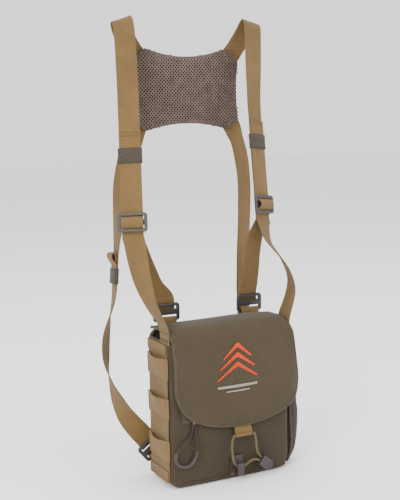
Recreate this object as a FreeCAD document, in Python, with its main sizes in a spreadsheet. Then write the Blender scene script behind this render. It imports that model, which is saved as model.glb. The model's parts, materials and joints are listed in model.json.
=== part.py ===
"""Binocular harness pack: a chest pack on a four-strap webbing harness.

Frame: millimetres. Looking at the pack's front, +X is to the right, +Y points
away, towards the wearer, and +Z is up. The origin is on the pack's rear face,
which rests on the chest: midway across it and 90 mm above its bottom edge.
"""
import FreeCAD, Part
import math
import os
import re
import sys

V = FreeCAD.Vector
DOC = FreeCAD.newDocument("binocular_harness_pack")

# ---------------------------------------------------------------- dimensions
DIMENSIONS = [
    ("pack_width", 160), ("pack_depth", 62), ("pack_low", -90), ("pack_top", 88),
    ("back_thick", 5), ("wall_thick", 3), ("side_top", 78), ("front_top", 74),
    ("foam_thick", 4), ("pocket_gap", 9), ("back_corner", 14),
    ("web_width", 25), ("web_thick", 1.5), ("ladder_width", 50), ("ladder_rise", 6),
    ("lid_width", 156), ("lid_thick", 3), ("lid_front", 68), ("lid_crown", 95),
    ("lid_bend", 19), ("lid_drop", -28), ("lid_corner", 38), ("hinge_y", -6), ("hinge_z", 90),
    ("tape_thick", 0.8), ("tape_height", 14), ("zip_z", -9), ("zip_length", 126),
    ("coil_height", 5), ("coil_thick", 1.2),
    ("slider_width", 9), ("slider_height", 9), ("slider_thick", 1.4), ("slider_x", -53),
    ("buckle_width", 35), ("buckle_thick", 3.4), ("triglide_height", 22.6), ("lock_height", 22),
    ("slot_width", 27), ("slot_height", 5), ("lock_slot_height", 4), ("buckle_round", 4),
    ("keeper_height", 18), ("keeper_wall", 1.2), ("keeper_gap", 0.45),
    ("elastic_diameter", 3), ("pull_diameter", 2.4), ("tube_diameter", 4.6),
    ("cord_lock_size", 15), ("cord_lock_depth", 9),
    ("stash_rise", 20), ("stash_wall", 2), ("stash_low", -84), ("stash_top", -6),
    ("stash_front", -56), ("stash_back", -7), ("stash_round", 8),
    ("mesh_half", 73), ("mesh_low", 321), ("mesh_high", 419), ("mesh_thick", 5), ("mesh_y", 43.5),
    ("mesh_cut_x", 18), ("mesh_cut_up", 17), ("mesh_cut_down", 11),
]
SHEET = DOC.addObject("Spreadsheet::Sheet", "Sizes")
for row, (alias, value) in enumerate(DIMENSIONS, start=1):
    SHEET.set(f"A{row}", alias)
    SHEET.set(f"B{row}", str(value))
    SHEET.setAlias(f"B{row}", alias)
DOC.recompute()
SIZE = {alias: float(SHEET.get(alias)) for alias, _ in DIMENSIONS}
NODES = []


def bound(text):
    """The expression with each sheet word pointing at its cell."""
    return re.sub(r"[a-z]+(_[a-z]+)*", lambda word: "Sizes." + word[0], str(text))


def keep(item, label):
    """Name a finished sub-part and list it for export."""
    item.Label = label
    NODES.append(item)
    return item


# ------------------------------------------------------------ simple makers
def box(label, x, y, z, kept=True):
    """A block between two expressions on each axis, bound to the sheet."""
    block = DOC.addObject("Part::Box", label)
    for size, axis, (low, high) in (("Length", "x", x), ("Width", "y", y), ("Height", "z", z)):
        block.setExpression(size, f"({bound(high)}) - ({bound(low)})")
        block.setExpression(f"Placement.Base.{axis}", bound(low))
    return keep(block, label) if kept else block


def combine(kind, label, base, tool):
    """A boolean of two document objects, kept as one sub-part."""
    result = DOC.addObject(f"Part::{kind}", label)
    result.Base = base
    result.Tool = tool
    return keep(result, label)


def plane_of(body, role):
    """One of a body's own origin planes."""
    return next(item for item in body.Origin.OriginFeatures if item.Role == role)


def sketched(body, role, loops):
    """A sketch on an origin plane, from loops of edges in that plane."""
    sketch = body.newObject("Sketcher::SketchObject", body.Name + "_outline")
    sketch.AttachmentSupport = [(plane_of(body, role), "")]
    sketch.MapMode = "FlatFace"
    for loop in loops:
        sketch.addGeometry(loop, False)
    return sketch


def edges_of(points):
    """The closed loop of line segments through points of a plane."""
    corners = [V(*point, 0) for point in points]
    return [Part.LineSegment(a, b) for a, b in zip(corners, corners[1:] + corners[:1])]


def padded(label, role, loops, length, midplane=False, placement=None):
    """A PartDesign body: one sketch padded by a length bound to the sheet."""
    body = DOC.addObject("PartDesign::Body", label)
    sketch = sketched(body, role, loops)
    pad = body.newObject("PartDesign::Pad", label + "_pad")
    pad.Profile = sketch
    pad.Midplane = midplane
    pad.setExpression("Length", bound(length))
    if placement is not None:
        body.Placement = placement
    DOC.recompute()
    return keep(body, label)


def rounded(body, radius, wanted):
    """Fillet the edges of a body's tip whose middle and direction pass a test."""
    base = body.Tip
    names = []
    for number, edge in enumerate(base.Shape.Edges, start=1):
        if wanted(edge):
            names.append(f"Edge{number}")
    fillet = body.newObject("PartDesign::Fillet", body.Name + "_fillet")
    fillet.Base = (base, names)
    fillet.setExpression("Radius", bound(radius))
    DOC.recompute()
    return body


def runs_along(edge, axis):
    """Whether a straight edge runs along an axis."""
    if not isinstance(edge.Curve, Part.Line):
        return False
    return abs(edge.tangentAt(edge.FirstParameter).dot(axis)) > 0.999


def middle(edge):
    """The middle of an edge's box."""
    return edge.BoundBox.Center


def rectangle(x0, x1, y0, y1):
    """The four sides of a rectangle in a sketch plane."""
    return edges_of([(x0, y0), (x1, y0), (x1, y1), (x0, y1)])


def feature(label, shape):
    """A sub-part whose shape comes from a function rather than a feature tree."""
    item = DOC.addObject("Part::Feature", label)
    item.Shape = shape
    item.Placement = FreeCAD.Placement()
    return keep(item, label)


# ------------------------------------------------------------------ webbing
def flat_across(width_hint, along):
    """The unit direction nearest to the hint that is square to the run."""
    across = width_hint - along * width_hint.dot(along)
    return across.normalize()


def tangents(points):
    """The direction of travel at each point, halved at the corners."""
    steps = [(b - a).normalize() for a, b in zip(points, points[1:])]
    inner = [(a + b).normalize() for a, b in zip(steps, steps[1:])]
    return [steps[0]] + inner + [steps[-1]]


def yawed(degrees):
    """A level unit vector turned from +X about +Z."""
    return V(math.cos(math.radians(degrees)), math.sin(math.radians(degrees)), 0)


def section(point, across, normal, width, thick):
    """The rectangle of webbing at one station."""
    half, rise = across * (width / 2), normal * (thick / 2)
    corners = [point - half - rise, point + half - rise, point + half + rise, point - half + rise]
    return Part.makePolygon(corners + corners[:1])


def webbing(stations):
    """Flat webbing through stations of (point, hint of its width's direction)."""
    width, thick = SIZE["web_width"], SIZE["web_thick"]
    points = [point for point, _ in stations]
    rings = []
    for (point, hint), along in zip(stations, tangents(points)):
        across = flat_across(hint, along)
        rings.append(section(point, across, across.cross(along), width, thick))
    return Part.makeLoft(rings, True, True)


class Seat:
    """The local frame of a buckle on webbing: across, along and out."""

    def __init__(self, place, top, yaw):
        self.place = V(*place)
        self.along = (V(*top) - self.place).normalize()
        hint = V(*yaw) if isinstance(yaw, tuple) else yawed(yaw)
        self.across = flat_across(hint, self.along)
        self.out = self.across.cross(self.along)

    def point(self, along, out=0.0):
        """The place this far along the webbing and this far out of it."""
        return self.place + self.along * along + self.out * out

    def placement(self, along=0.0, out=0.0):
        """Sketch X to across, sketch Y to along, pad direction to out."""
        turn = FreeCAD.Rotation(self.across, self.along, self.out, "XYZ")
        return FreeCAD.Placement(self.point(along, out), turn)

    def ribbon(self, rows):
        """Webbing through rows of (along, out) in this frame."""
        return webbing([(self.point(*row), self.across) for row in rows])


# ----------------------------------------------------------------- hardware
def buckle(label, seat, height, slot_middles, slot="slot_height", out=0.0):
    """A flat moulded frame with webbing slots."""
    half_w, half_h = SIZE["buckle_width"] / 2, SIZE[height] / 2
    half_slot, half_gap = SIZE["slot_width"] / 2, SIZE[slot] / 2
    loops = [rectangle(-half_w, half_w, -half_h, half_h)]
    for low in slot_middles:
        loops.append(rectangle(-half_slot, half_slot, low - half_gap, low + half_gap))
    body = padded(label, "XY_Plane", loops, "buckle_thick")
    rounded(body, "buckle_round", lambda edge: runs_along(edge, V(0, 0, 1))
            and abs(abs(middle(edge).x) - half_w) < 0.01)
    body.Placement = seat.placement(out=out)
    return body


def keeper(label, seat, along, low, high):
    """An elastic sleeve round a stack of webbing from low to high."""
    gap, wall = SIZE["keeper_gap"], SIZE["keeper_wall"]
    half = SIZE["web_width"] / 2 + gap
    inner = rectangle(-half, half, low - gap, high + gap)
    outer = rectangle(-half - wall, half + wall, low - gap - wall, high + gap + wall)
    turn = FreeCAD.Rotation(seat.across, seat.out, seat.along * -1, "XYZ")
    place = FreeCAD.Placement(seat.point(along + SIZE["keeper_height"] / 2), turn)
    return padded(label, "XY_Plane", [outer, inner], "keeper_height", placement=place)


# ----------------------------------------------------------------- the pack
def pack_shell():
    """The sewn walls and foam of the main compartment and the front pocket."""
    half, low, top = SIZE["pack_width"] / 2, SIZE["pack_low"], SIZE["pack_top"]
    back = padded("back_panel", "XZ_Plane", [rectangle(-half, half, low, top)], "back_thick")
    rounded(back, "back_corner", lambda edge: runs_along(edge, V(0, 1, 0)) and middle(edge).z > 0)
    inside = "pack_width/2 - wall_thick"
    rear, front = "-back_thick", "-(pack_depth - wall_thick)"
    front_panel = padded("front_panel", "XZ_Plane",
                         [rectangle(-half, half, low, SIZE["front_top"]),
                          rectangle(-SIZE["zip_length"] / 2, SIZE["zip_length"] / 2,
                                    SIZE["zip_z"] - 2, SIZE["zip_z"] + 2)], "wall_thick")
    front_panel.setExpression("Placement.Base.y", bound("-(pack_depth - wall_thick)"))
    box("left_side_panel", ("-pack_width/2", f"-({inside})"), (front, rear), ("pack_low", "side_top"))
    box("right_side_panel", (inside, "pack_width/2"), (front, rear), ("pack_low", "side_top"))
    box("bottom_panel", (f"-({inside})", inside), (front, rear), ("pack_low", "pack_low + wall_thick"))
    wall = "-(pack_depth - wall_thick - pocket_gap)"
    floor = "pack_low + wall_thick"
    box("pocket_wall", (f"-({inside})", inside), (wall, f"{wall} + 1.5"), (floor, "front_top"))
    box("front_foam", (f"-({inside}) + 1", f"{inside} - 1"), (f"{wall} + 1.5", f"{wall} + 1.5 + foam_thick"),
        (f"{floor} + foam_thick", "front_top - 4"))
    box("base_foam", (f"-({inside}) + 1", f"{inside} - 1"), (f"{wall} + 1.5", f"{rear} - 1"),
        (floor, f"{floor} + foam_thick"))


def zip_closure():
    """The front pocket's zip: tape, coil and slider."""
    face = "-pack_depth"
    tape = box("tape_blank", ("-zip_length/2 - 5", "zip_length/2 + 5"), (f"{face} - tape_thick", face),
               ("zip_z - tape_height/2", "zip_z + tape_height/2"), kept=False)
    gap = box("tape_gap", ("-zip_length/2", "zip_length/2"), (f"{face} - 2", f"{face} + 1"),
              ("zip_z - 0.4", "zip_z + 0.4"), kept=False)
    combine("Cut", "zip_tape", tape, gap)
    box("zip_coil", ("-zip_length/2", "zip_length/2"), (f"{face} - tape_thick - coil_thick", f"{face} - tape_thick"),
        ("zip_z - coil_height/2", "zip_z + coil_height/2"))
    front = f"{face} - tape_thick - coil_thick - 0.3"
    plate = box("slider_plate", ("slider_x - slider_width/2", "slider_x + slider_width/2"),
                (f"{front} - slider_thick", front),
                ("zip_z - slider_height/2", "zip_z + slider_height/2"), kept=False)
    ring = box("slider_nose", ("slider_x - 2", "slider_x + 2"), (f"{front} - slider_thick", front),
               ("zip_z - slider_height/2 - 4", "zip_z - slider_height/2"), kept=False)
    combine("Fuse", "zip_slider", plate, ring)


def side_ladder():
    """The 50 mm webbing on the left side, with three bowed loops across it."""
    face = "-pack_width/2"
    box("ladder_webbing", (f"{face} - web_thick", face), ("-54", "-54 + ladder_width"), ("pack_low + 2", "side_top"))
    bands = {"top": (77.0, 66.0), "upper": (61.5, 36.5), "middle": (14.0, -11.0), "lower": (-37.0, -62.0),
             "hem": (-74.0, -87.0)}
    base = -SIZE["pack_width"] / 2 - SIZE["web_thick"]
    thick, front, tack, ramp = SIZE["web_thick"], -54.0, 3.0, 9.0
    rear = front + SIZE["ladder_width"]
    for name, (high, low) in bands.items():
        lift = SIZE["ladder_rise"] if name in ("upper", "middle", "lower") else 0.0
        outer, inner = [(base, rear), (base - thick, rear)], []
        if lift:
            outer += [(base - thick - lift, rear - ramp), (base - thick - lift, front + ramp)]
            inner = [(base, front + tack), (base - lift, front + ramp), (base - lift, rear - ramp), (base, rear - tack)]
        outer += [(base - thick, front), (base, front)]
        outline = outer + inner
        face_wire = Part.makePolygon([V(x, y, low) for x, y in outline + outline[:1]])
        loop = Part.Face(face_wire).extrude(V(0, 0, high - low))
        feature(f"ladder_loop_{name}", loop)


def rounded_end(x0, x1, y0, y1, radius):
    """A rectangle with both corners at its x1 end rounded."""
    corner = radius * (1 - math.sqrt(0.5))
    return [Part.LineSegment(V(x0, y0, 0), V(x1 - radius, y0, 0)),
            Part.Arc(V(x1 - radius, y0, 0), V(x1 - corner, y0 + corner, 0), V(x1, y0 + radius, 0)),
            Part.LineSegment(V(x1, y0 + radius, 0), V(x1, y1 - radius, 0)),
            Part.Arc(V(x1, y1 - radius, 0), V(x1 - corner, y1 - corner, 0), V(x1 - radius, y1, 0)),
            Part.LineSegment(V(x1 - radius, y1, 0), V(x0, y1, 0)),
            Part.LineSegment(V(x0, y1, 0), V(x0, y0, 0))]


def stash_pocket():
    """The stretch pocket on the right side, open at its top."""
    half, wall = SIZE["pack_width"] / 2, SIZE["stash_wall"]
    front, back, radius = SIZE["stash_front"], SIZE["stash_back"], SIZE["stash_round"]
    outer = rounded_end(half, half + SIZE["stash_rise"], front, back, radius)
    place = FreeCAD.Placement(V(0, 0, SIZE["stash_low"]), FreeCAD.Rotation())
    body = padded("stash_pocket", "XY_Plane", [outer], "stash_top - stash_low", placement=place)
    inner = rounded_end(half - 1, half + SIZE["stash_rise"] - wall, front + wall, back - wall, radius - wall)
    hollow = sketched(body, "XY_Plane", [inner])
    hollow.AttachmentOffset = FreeCAD.Placement(V(0, 0, wall), FreeCAD.Rotation())
    pocket = body.newObject("PartDesign::Pocket", "stash_hollow")
    pocket.Profile = hollow
    pocket.Reversed = True
    pocket.setExpression("Length", bound("stash_top - stash_low"))
    full = body.Shape.Volume
    DOC.recompute()
    if body.Shape.Volume > 0.6 * full:
        sys.exit("the stash pocket isn't hollow")


# ------------------------------------------------------------------ the lid
def bent_band(corners, radii, thick):
    """A closed outline of constant thickness along a path with rounded corners."""
    sides = []
    for shift in (thick / 2, -thick / 2):
        edges, start = [], None
        headings = [(b - a).normalize() for a, b in zip(corners, corners[1:])]
        normals = [V(-way.y, way.x, 0) for way in headings]
        start = corners[0] + normals[0] * shift
        for index, radius in enumerate(radii, start=1):
            before, after = headings[index - 1], headings[index]
            turn = math.atan2(before.cross(after).z, before.dot(after))
            trim = radius * math.tan(abs(turn) / 2)
            inwards = normals[index - 1] * math.copysign(1, turn)
            centre = corners[index] - before * trim + inwards * radius
            span = radius - math.copysign(shift, turn) if shift > 0 else radius + math.copysign(-shift, turn)
            first = centre - inwards * span
            halfway = FreeCAD.Rotation(V(0, 0, 1), math.degrees(turn) / 2).multVec(inwards)
            whole = FreeCAD.Rotation(V(0, 0, 1), math.degrees(turn)).multVec(inwards)
            last = centre - whole * span
            edges.append(Part.LineSegment(start, first))
            edges.append(Part.Arc(first, centre - halfway * span, last))
            start = last
        edges.append(Part.LineSegment(start, corners[-1] + normals[-1] * shift))
        sides.append(edges)
    upper, lower = sides
    caps = [Part.LineSegment(upper[0].StartPoint, lower[0].StartPoint),
            Part.LineSegment(upper[-1].EndPoint, lower[-1].EndPoint)]
    return upper + lower + caps


def lid():
    """The padded lid: over the top, round the bend and down the front."""
    front, crown = -SIZE["lid_front"], SIZE["lid_crown"]
    path = [V(SIZE["hinge_y"], SIZE["hinge_z"], 0), V(-26, crown, 0), V(front, crown, 0),
            V(front, SIZE["lid_drop"], 0)]
    loop = bent_band(path, [30, SIZE["lid_bend"]], SIZE["lid_thick"])
    body = padded("lid_panel", "YZ_Plane", [loop], "lid_width", midplane=True)
    half = SIZE["lid_width"] / 2
    rounded(body, "lid_corner", lambda edge: runs_along(edge, V(0, 1, 0))
            and abs(middle(edge).z - SIZE["lid_drop"]) < 0.01 and abs(abs(middle(edge).x) - half) < 0.01)
    return body


def lid_trim():
    """The patch, the closure tab and the hanging elastic's hardware."""
    face = -SIZE["lid_front"] - SIZE["lid_thick"] / 2
    badge = padded("lid_emblem", "XZ_Plane", [rectangle(-22, 26, 8, 64)], "0.8")
    badge.Placement = FreeCAD.Placement(V(0, face, 0), FreeCAD.Rotation())
    box("closure_tab", ("-1", "22"), ("-lid_front - lid_thick/2 - 2", "-lid_front - lid_thick/2"), ("-41", "-20"))


# ------------------------------------------------------------- free cords
def cord_path(points):
    """Straight runs joined by tangent arcs, each as large as its runs allow."""
    edges, start, radii = [], points[0], []
    for before, corner, after in zip(points, points[1:], points[2:]):
        into, out_of = (corner - before), (after - corner)
        run = min(into.Length, out_of.Length)
        into.normalize()
        out_of.normalize()
        turn = math.acos(max(-1.0, min(1.0, into.dot(out_of))))
        trim = 0.45 * run
        radius = trim / math.tan(turn / 2)
        radii.append(radius)
        first, last = corner - into * trim, corner + out_of * trim
        inwards = (out_of - into).normalize()
        centre = corner + inwards * (radius / math.cos(turn / 2))
        edges.append(Part.LineSegment(start, first).toShape())
        edges.append(Part.Arc(first, centre - inwards * radius, last).toShape())
        start = last
    edges.append(Part.LineSegment(start, points[-1]).toShape())
    return Part.Wire(edges), radii


def cord(label, route, diameter):
    """A round cord along its route; its volume is compared with its length."""
    points = [V(*row) for row in route]
    wire, radii = cord_path(points)
    heading = (points[1] - points[0]).normalize()
    ring = Part.Wire([Part.Circle(points[0], heading, diameter / 2).toShape()])
    solid = wire.makePipeShell([ring], True, False)
    expected = wire.Length * math.pi * diameter ** 2 / 4
    print(f"{label}: length {wire.Length:.1f} mm, volume ratio {solid.Volume / expected:.4f}, "
          f"radii {', '.join(f'{radius:.1f}' for radius in radii)}")
    return feature(label, solid)


PULL_ROUTE = [(-54.4, -64.6, -17.6), (-54.8, -64.6, -24), (-57.5, -65.4, -30.5), (-63, -67.2, -36),
              (-71.5, -68.6, -40.5), (-77.5, -68, -47.5), (-79, -66.8, -56), (-75, -66.5, -63.5),
              (-66.5, -66.5, -67.5), (-57.5, -66.5, -65), (-52, -66.8, -57), (-50.4, -67.2, -47.5),
              (-50.6, -67, -38), (-51.2, -65.6, -30), (-51.6, -64.6, -24), (-51.6, -64.6, -17.6)]
CLOSURE_ROUTE = [(-1.6, -71.2, -37.6), (-3.8, -71.5, -38.6), (-5.9, -71.5, -43), (-6.9, -71.5, -50.3),
                 (-6.5, -71.5, -57.8), (-5.6, -71.5, -65.5), (-3.6, -71.5, -72.5), (1.8, -71.5, -77.4),
                 (8.6, -71.5, -78.2), (14.5, -71.5, -74.8), (20.5, -71.5, -71.8), (26.2, -71.5, -71.6),
                 (30.7, -71.5, -74.2)]
RETURN_ROUTE = [(23.1, -71.2, -37.6), (24.7, -71.5, -39.6), (26, -71.5, -45.5), (26.8, -71.5, -53),
                (27.4, -71.5, -59.5), (29.3, -71.5, -65.5), (33.4, -71.5, -70.4)]
TUBE_EDGES = (9, 22)  # the stretch of the pull cord's path that its sleeve covers


def pull_loop():
    """The zip pull: a cord loop through the slider's nose, with a soft sleeve."""
    points = [V(*row) for row in PULL_ROUTE]
    cord("pull_cord", PULL_ROUTE, SIZE["pull_diameter"])
    path = Part.Wire(cord_path(points)[0].OrderedEdges[TUBE_EDGES[0]:TUBE_EDGES[1]])
    first = path.OrderedEdges[0]
    start, heading = first.valueAt(first.FirstParameter), first.tangentAt(first.FirstParameter)
    solids = []
    for diameter in (SIZE["tube_diameter"], SIZE["pull_diameter"] + 0.1):
        ring = Part.Wire([Part.Circle(start, heading, diameter / 2).toShape()])
        solids.append(path.makePipeShell([ring], True, False))
    feature("pull_tube", solids[0].cut(solids[1]))


def closure():
    """The elastic loop that hangs from the lid's tab, its lock and its hook."""
    cord("closure_cord", CLOSURE_ROUTE, SIZE["elastic_diameter"])
    cord("closure_cord_return", RETURN_ROUTE, SIZE["elastic_diameter"])
    long, wide, deep = SIZE["cord_lock_size"], SIZE["cord_lock_size"] - 2, SIZE["cord_lock_depth"]
    press = V(math.cos(math.radians(40)), 0, -math.sin(math.radians(40)))
    side = V(-press.z, 0, press.x)
    turn = FreeCAD.Rotation(press, side, press.cross(side), "XYZ")
    centre = V(38, -71.5, -77.5)
    place = FreeCAD.Placement(centre + press.cross(side) * (-deep / 2), turn)
    body = padded("cord_lock_body", "XY_Plane", [rectangle(-long / 2, long / 2, -wide / 2, wide / 2)],
                  "cord_lock_depth")
    rounded(body, "1.5", lambda edge: runs_along(edge, V(0, 0, 1)))
    well = sketched(body, "YZ_Plane", [rectangle(-4.9, 4.9, 1.4, deep - 1.4)])
    well.AttachmentOffset = FreeCAD.Placement(V(0, 0, long / 2), FreeCAD.Rotation())
    pocket = body.newObject("PartDesign::Pocket", "cord_lock_well")
    pocket.Profile = well
    pocket.Length = 12
    DOC.recompute()
    body.Placement = place
    reach = long / 2 + 4
    button = padded("cord_lock_button", "XY_Plane", [rectangle(reach - 11, reach, -4.5, 4.5)], "5.6")
    rounded(button, "1", lambda edge: runs_along(edge, V(0, 0, 1)) and middle(edge).x > reach - 1)
    button.Placement = FreeCAD.Placement(centre + press.cross(side) * -2.8, turn)
    spring = DOC.addObject("Part::Cylinder", "cord_lock_spring")
    spring.Radius = 2
    spring.Height = 3.6
    spring.Placement = FreeCAD.Placement(centre + press * (long / 2 - 11.8),
                                         FreeCAD.Rotation(V(0, 0, 1), press))
    keep(spring, "cord_lock_spring")
    closure_hook()


def closure_hook():
    """The moulded hook at the bottom of the front and the webbing that holds it."""
    box("hook_anchor", ("-4", "12"), ("-pack_depth - web_thick", "-pack_depth"), ("pack_low", "-72"))
    rear = "-pack_depth - web_thick"
    plate = box("hook_plate", ("-4", "12"), (f"{rear} - 2", rear), ("pack_low + 3", "-65"), kept=False)
    post = box("hook_post", ("-1.5", "7.5"), ("-76.5", f"{rear} - 2"), ("pack_low + 3", "-82"), kept=False)
    tongue = box("hook_tongue", ("-1.5", "7.5"), ("-76.5", "-74"), ("-82", "-72"), kept=False)
    both = DOC.addObject("Part::MultiFuse", "closure_hook")
    both.Shapes = [plate, post, tongue]
    both.Refine = True
    keep(both, "closure_hook")


# ---------------------------------------------------------------- harness
def mesh_pad():
    """The back pad: spacer mesh over a thin backing, corners cut for the straps."""
    half, low, high = SIZE["mesh_half"], SIZE["mesh_low"], SIZE["mesh_high"]
    inner = half - SIZE["mesh_cut_x"]
    top, bottom = high - SIZE["mesh_cut_up"], low + SIZE["mesh_cut_down"]
    loop = [Part.Arc(V(-inner, high, 0), V(0, high - 10, 0), V(inner, high, 0)),
            Part.LineSegment(V(inner, high, 0), V(half, top, 0)),
            Part.Arc(V(half, top, 0), V(half - 3, (top + bottom) / 2, 0), V(half, bottom, 0)),
            Part.LineSegment(V(half, bottom, 0), V(inner, low, 0)),
            Part.Arc(V(inner, low, 0), V(0, low + 8, 0), V(-inner, low, 0)),
            Part.LineSegment(V(-inner, low, 0), V(-half, bottom, 0)),
            Part.Arc(V(-half, bottom, 0), V(-half + 3, (top + bottom) / 2, 0), V(-half, top, 0)),
            Part.LineSegment(V(-half, top, 0), V(-inner, high, 0))]
    rear = SIZE["mesh_y"] + SIZE["mesh_thick"]
    padded("mesh_panel", "XZ_Plane", [loop], "mesh_thick - 1",
           placement=FreeCAD.Placement(V(0, rear - 1, 0), FreeCAD.Rotation()))
    padded("mesh_backing", "XZ_Plane", [loop], "1",
           placement=FreeCAD.Placement(V(0, rear, 0), FreeCAD.Rotation()))


def hinted(rows):
    """Stations from rows of x, y, z and either a yaw or a width direction."""
    stations = []
    for x, y, z, hint in rows:
        across = V(*hint) if isinstance(hint, tuple) else yawed(hint)
        stations.append((V(x, y, z), across))
    return stations


SHOULDER_SEATS = {"left": Seat((-104, -18.5, 218), (-93, 10, 345), -27),
                  "right": Seat((70, -15, 228), (75, 8, 343), 22)}
UNDERARM_SEATS = {"left": Seat((-109, 27.5, 150), (-104.5, 31, 190), -100),
                  "right": Seat((68, 26, 62), (68, 28.5, 100), 22)}
TOP_LOCK_SEATS = {"left": Seat((-54, 4, 104), (-54, 4, 114), 0),
                  "right": Seat((61, 4, 104), (61, 4, 114), 0)}
LOWER_LOCK_SEATS = {"left": Seat((-74, 7.5, -61.5), (-86.4, 9.9, -46.1), (0.76, -0.12, 0.64)),
                    "right": Seat((74, 7.5, -61.5), (86.4, 9.9, -46.1), (0.76, 0.12, -0.64))}

OVER_SHOULDER = {
    "left": [(-59, 49.4, 405, (0.727, 0, 0.687)), (-66, 49.4, 412.4, (0.727, 0, 0.687)),
             (-77, 47.5, 427, (0.86, -0.1, 0.44)), (-84, 44.5, 440, (0.97, -0.12, 0.15)),
             (-87.5, 41.5, 449, -12), (-88, 36, 453, -12), (-87.8, 30.8, 449, -14),
             (-87.5, 28.6, 438, -16), (-89, 21.5, 402, -20), (-91, 15, 370, -25)],
    "right": [(59, 49.4, 405, (0.727, 0, -0.687)), (66, 49.4, 412.4, (0.727, 0, -0.687)),
              (76, 47.5, 427, (0.86, 0.1, -0.44)), (83, 44.5, 440, (0.97, 0, -0.15)),
              (86.5, 41.5, 449, 0), (87, 36, 453, 2), (86.6, 30.8, 449, 4),
              (85.8, 28.4, 438, 6), (81, 20, 400, 12), (77, 12.6, 365, 18)]}
BRIDLES = {
    "left": [(-99, -14, 192, -30), (-90, -7.5, 172, -30), (-78, 0.5, 148, -26),
             (-67, 4.8, 128, -16)],
    "right": [(64, -18, 202, 18), (60, -12, 184, 6), (61.5, -4, 160, 2), (63, 2, 140, 0),
              (63, 4.8, 126, 0)]}
OUTERS = {
    "left": [(-104.6, -25, 196, -30), (-104, -30, 174, -42), (-101, -36, 148, -62),
             (-93.5, -42, 121, -80), (-85.2, -46.5, 106, -88),
             (-80.8, -48.8, 97, -90), (-80.8, -48.8, 93.1, -90)],
    "right": [(68.5, -24.2, 206, 28), (70, -27.5, 190, 44), (77, -30, 177, 58), (88, -33, 163, 66),
              (96.5, -37, 146, 72), (98, -41, 128, 80), (90, -45.8, 110, 88),
              (80.8, -48.8, 97, 90), (80.8, -48.8, 93.1, 90)]}
UNDERARM_TOP = {
    "left": [(-60.5, 49.4, 333, (0.853, 0, -0.521)), (-66, 49.4, 324, (0.853, 0, -0.521)),
             (-74, 46.5, 308, -25), (-83, 42, 288, -38), (-93, 38.5, 255, -54),
             (-98.5, 35, 222, -80)],
    "right": [(60.5, 49.4, 333, (0.853, 0, 0.521)), (66, 49.4, 324, (0.853, 0, 0.521)),
              (71.5, 47.5, 309, 20), (77, 45.5, 288, 18), (80.9, 44, 254, 20), (78.9, 42, 220, 22),
              (75.1, 38.5, 178, 22), (71.5, 34.5, 146, 22), (69, 31, 122, 22)]}
UNDERARM_LOW = {
    "left": [(-117, 26, 106, -115), (-124.3, 24.5, 80, -134), (-126.5, 22.5, 58, -134),
             (-125.4, 21, 42, -118), (-122.5, 19.5, 25, (-0.25, -0.95, 0.15)),
             (-117, 18, 7.5, (0.05, -0.93, 0.36)), (-110, 16.5, -12, (0.35, -0.77, 0.53)),
             (-101, 15, -27.5, (0.6, -0.5, 0.6)), (-94, 13.5, -36.5, (0.72, -0.3, 0.62))],
    "right": [(70, 22, 14, 40), (75, 19.5, -6, (0.85, 0.45, -0.3)), (82.5, 16.5, -24, (0.82, 0.25, -0.5)),
              (89, 14, -35, (0.77, 0.15, -0.62))]}
LOWER_TABS = {
    "left": [(-62.6, 3.6, -73.8, (0.77, 0, 0.64)), (-60, 1.5, -76.4, (0.77, 0, 0.64)),
             (-57.8, 1.1, -78.2, (0.77, 0, 0.64))],
    "right": [(62.6, 3.6, -73.8, (0.77, 0, -0.64)), (60, 1.5, -76.4, (0.77, 0, -0.64)),
              (57.8, 1.1, -78.2, (0.77, 0, -0.64))]}


def harness_side(side):
    """All the webbing and hardware of one side, from the pad down to the pack."""
    sign = -1 if side == "left" else 1
    seat, arm = SHOULDER_SEATS[side], UNDERARM_SEATS[side]
    top, low = TOP_LOCK_SEATS[side], LOWER_LOCK_SEATS[side]
    over = hinted(OVER_SHOULDER[side])
    over += [(seat.point(127), seat.across), (seat.point(-14), seat.across)]
    feature(f"{side}_shoulder_strap", webbing(over))
    tail = [(104, 1.65), (11, 1.65), (7.2, 1.8), (4, 7.1), (-4, 7.1), (-7.2, 1.8), (-13, 1.65)]
    feature(f"{side}_strap_tail", seat.ribbon(tail))
    buckle(f"{side}_triglide", seat, "triglide_height", (-5.25, 5.25), out=2.85)
    keeper(f"{side}_keeper", seat, 78, -0.75, 2.4)
    bridle = [(seat.point(-14.4), seat.across), (seat.point(-20), seat.across)] + hinted(BRIDLES[side])
    bridle += [(top.point(13, -1.2), top.across), (top.point(3, -1.2), top.across)]
    feature(f"{side}_bridle_strap", webbing(bridle))
    outer = [(seat.point(-13.4, 1.65), seat.across), (seat.point(-18, 1.9), seat.across)]
    outer += hinted(OUTERS[side])
    feature(f"{side}_outer_strap", webbing(outer))
    hem = sorted((sign * 79.3, sign * 82.3))
    box(f"{side}_strap_hem", tuple(map(str, hem)), ("-61.3", "-36.3"), ("side_top", "93"))
    buckle(f"{side}_top_lock", top, "lock_height", (-5.25, 5.25), "lock_slot_height")
    top_tab(side, top)
    under = hinted(UNDERARM_TOP[side]) + [(arm.point(40), arm.across), (arm.point(-28), arm.across)]
    under += hinted(UNDERARM_LOW[side]) + [(low.point(22, -1.3), low.across), (low.point(4, -1.3), low.across)]
    feature(f"{side}_underarm_strap", webbing(under))
    feature(f"{side}_underarm_tail", arm.ribbon([(36, 1.65), (-12, 1.65)]))
    keeper(f"{side}_underarm_keeper", arm, 0, -0.75, 2.4)
    buckle(f"{side}_lower_lock", low, "lock_height", (-5.25, 5.25), "lock_slot_height")
    tab = [(low.point(along, -1.3), low.across) for along in (-2.5, -12)]
    feature(f"{side}_lower_tab", webbing(tab + hinted(LOWER_TABS[side])))


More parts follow.
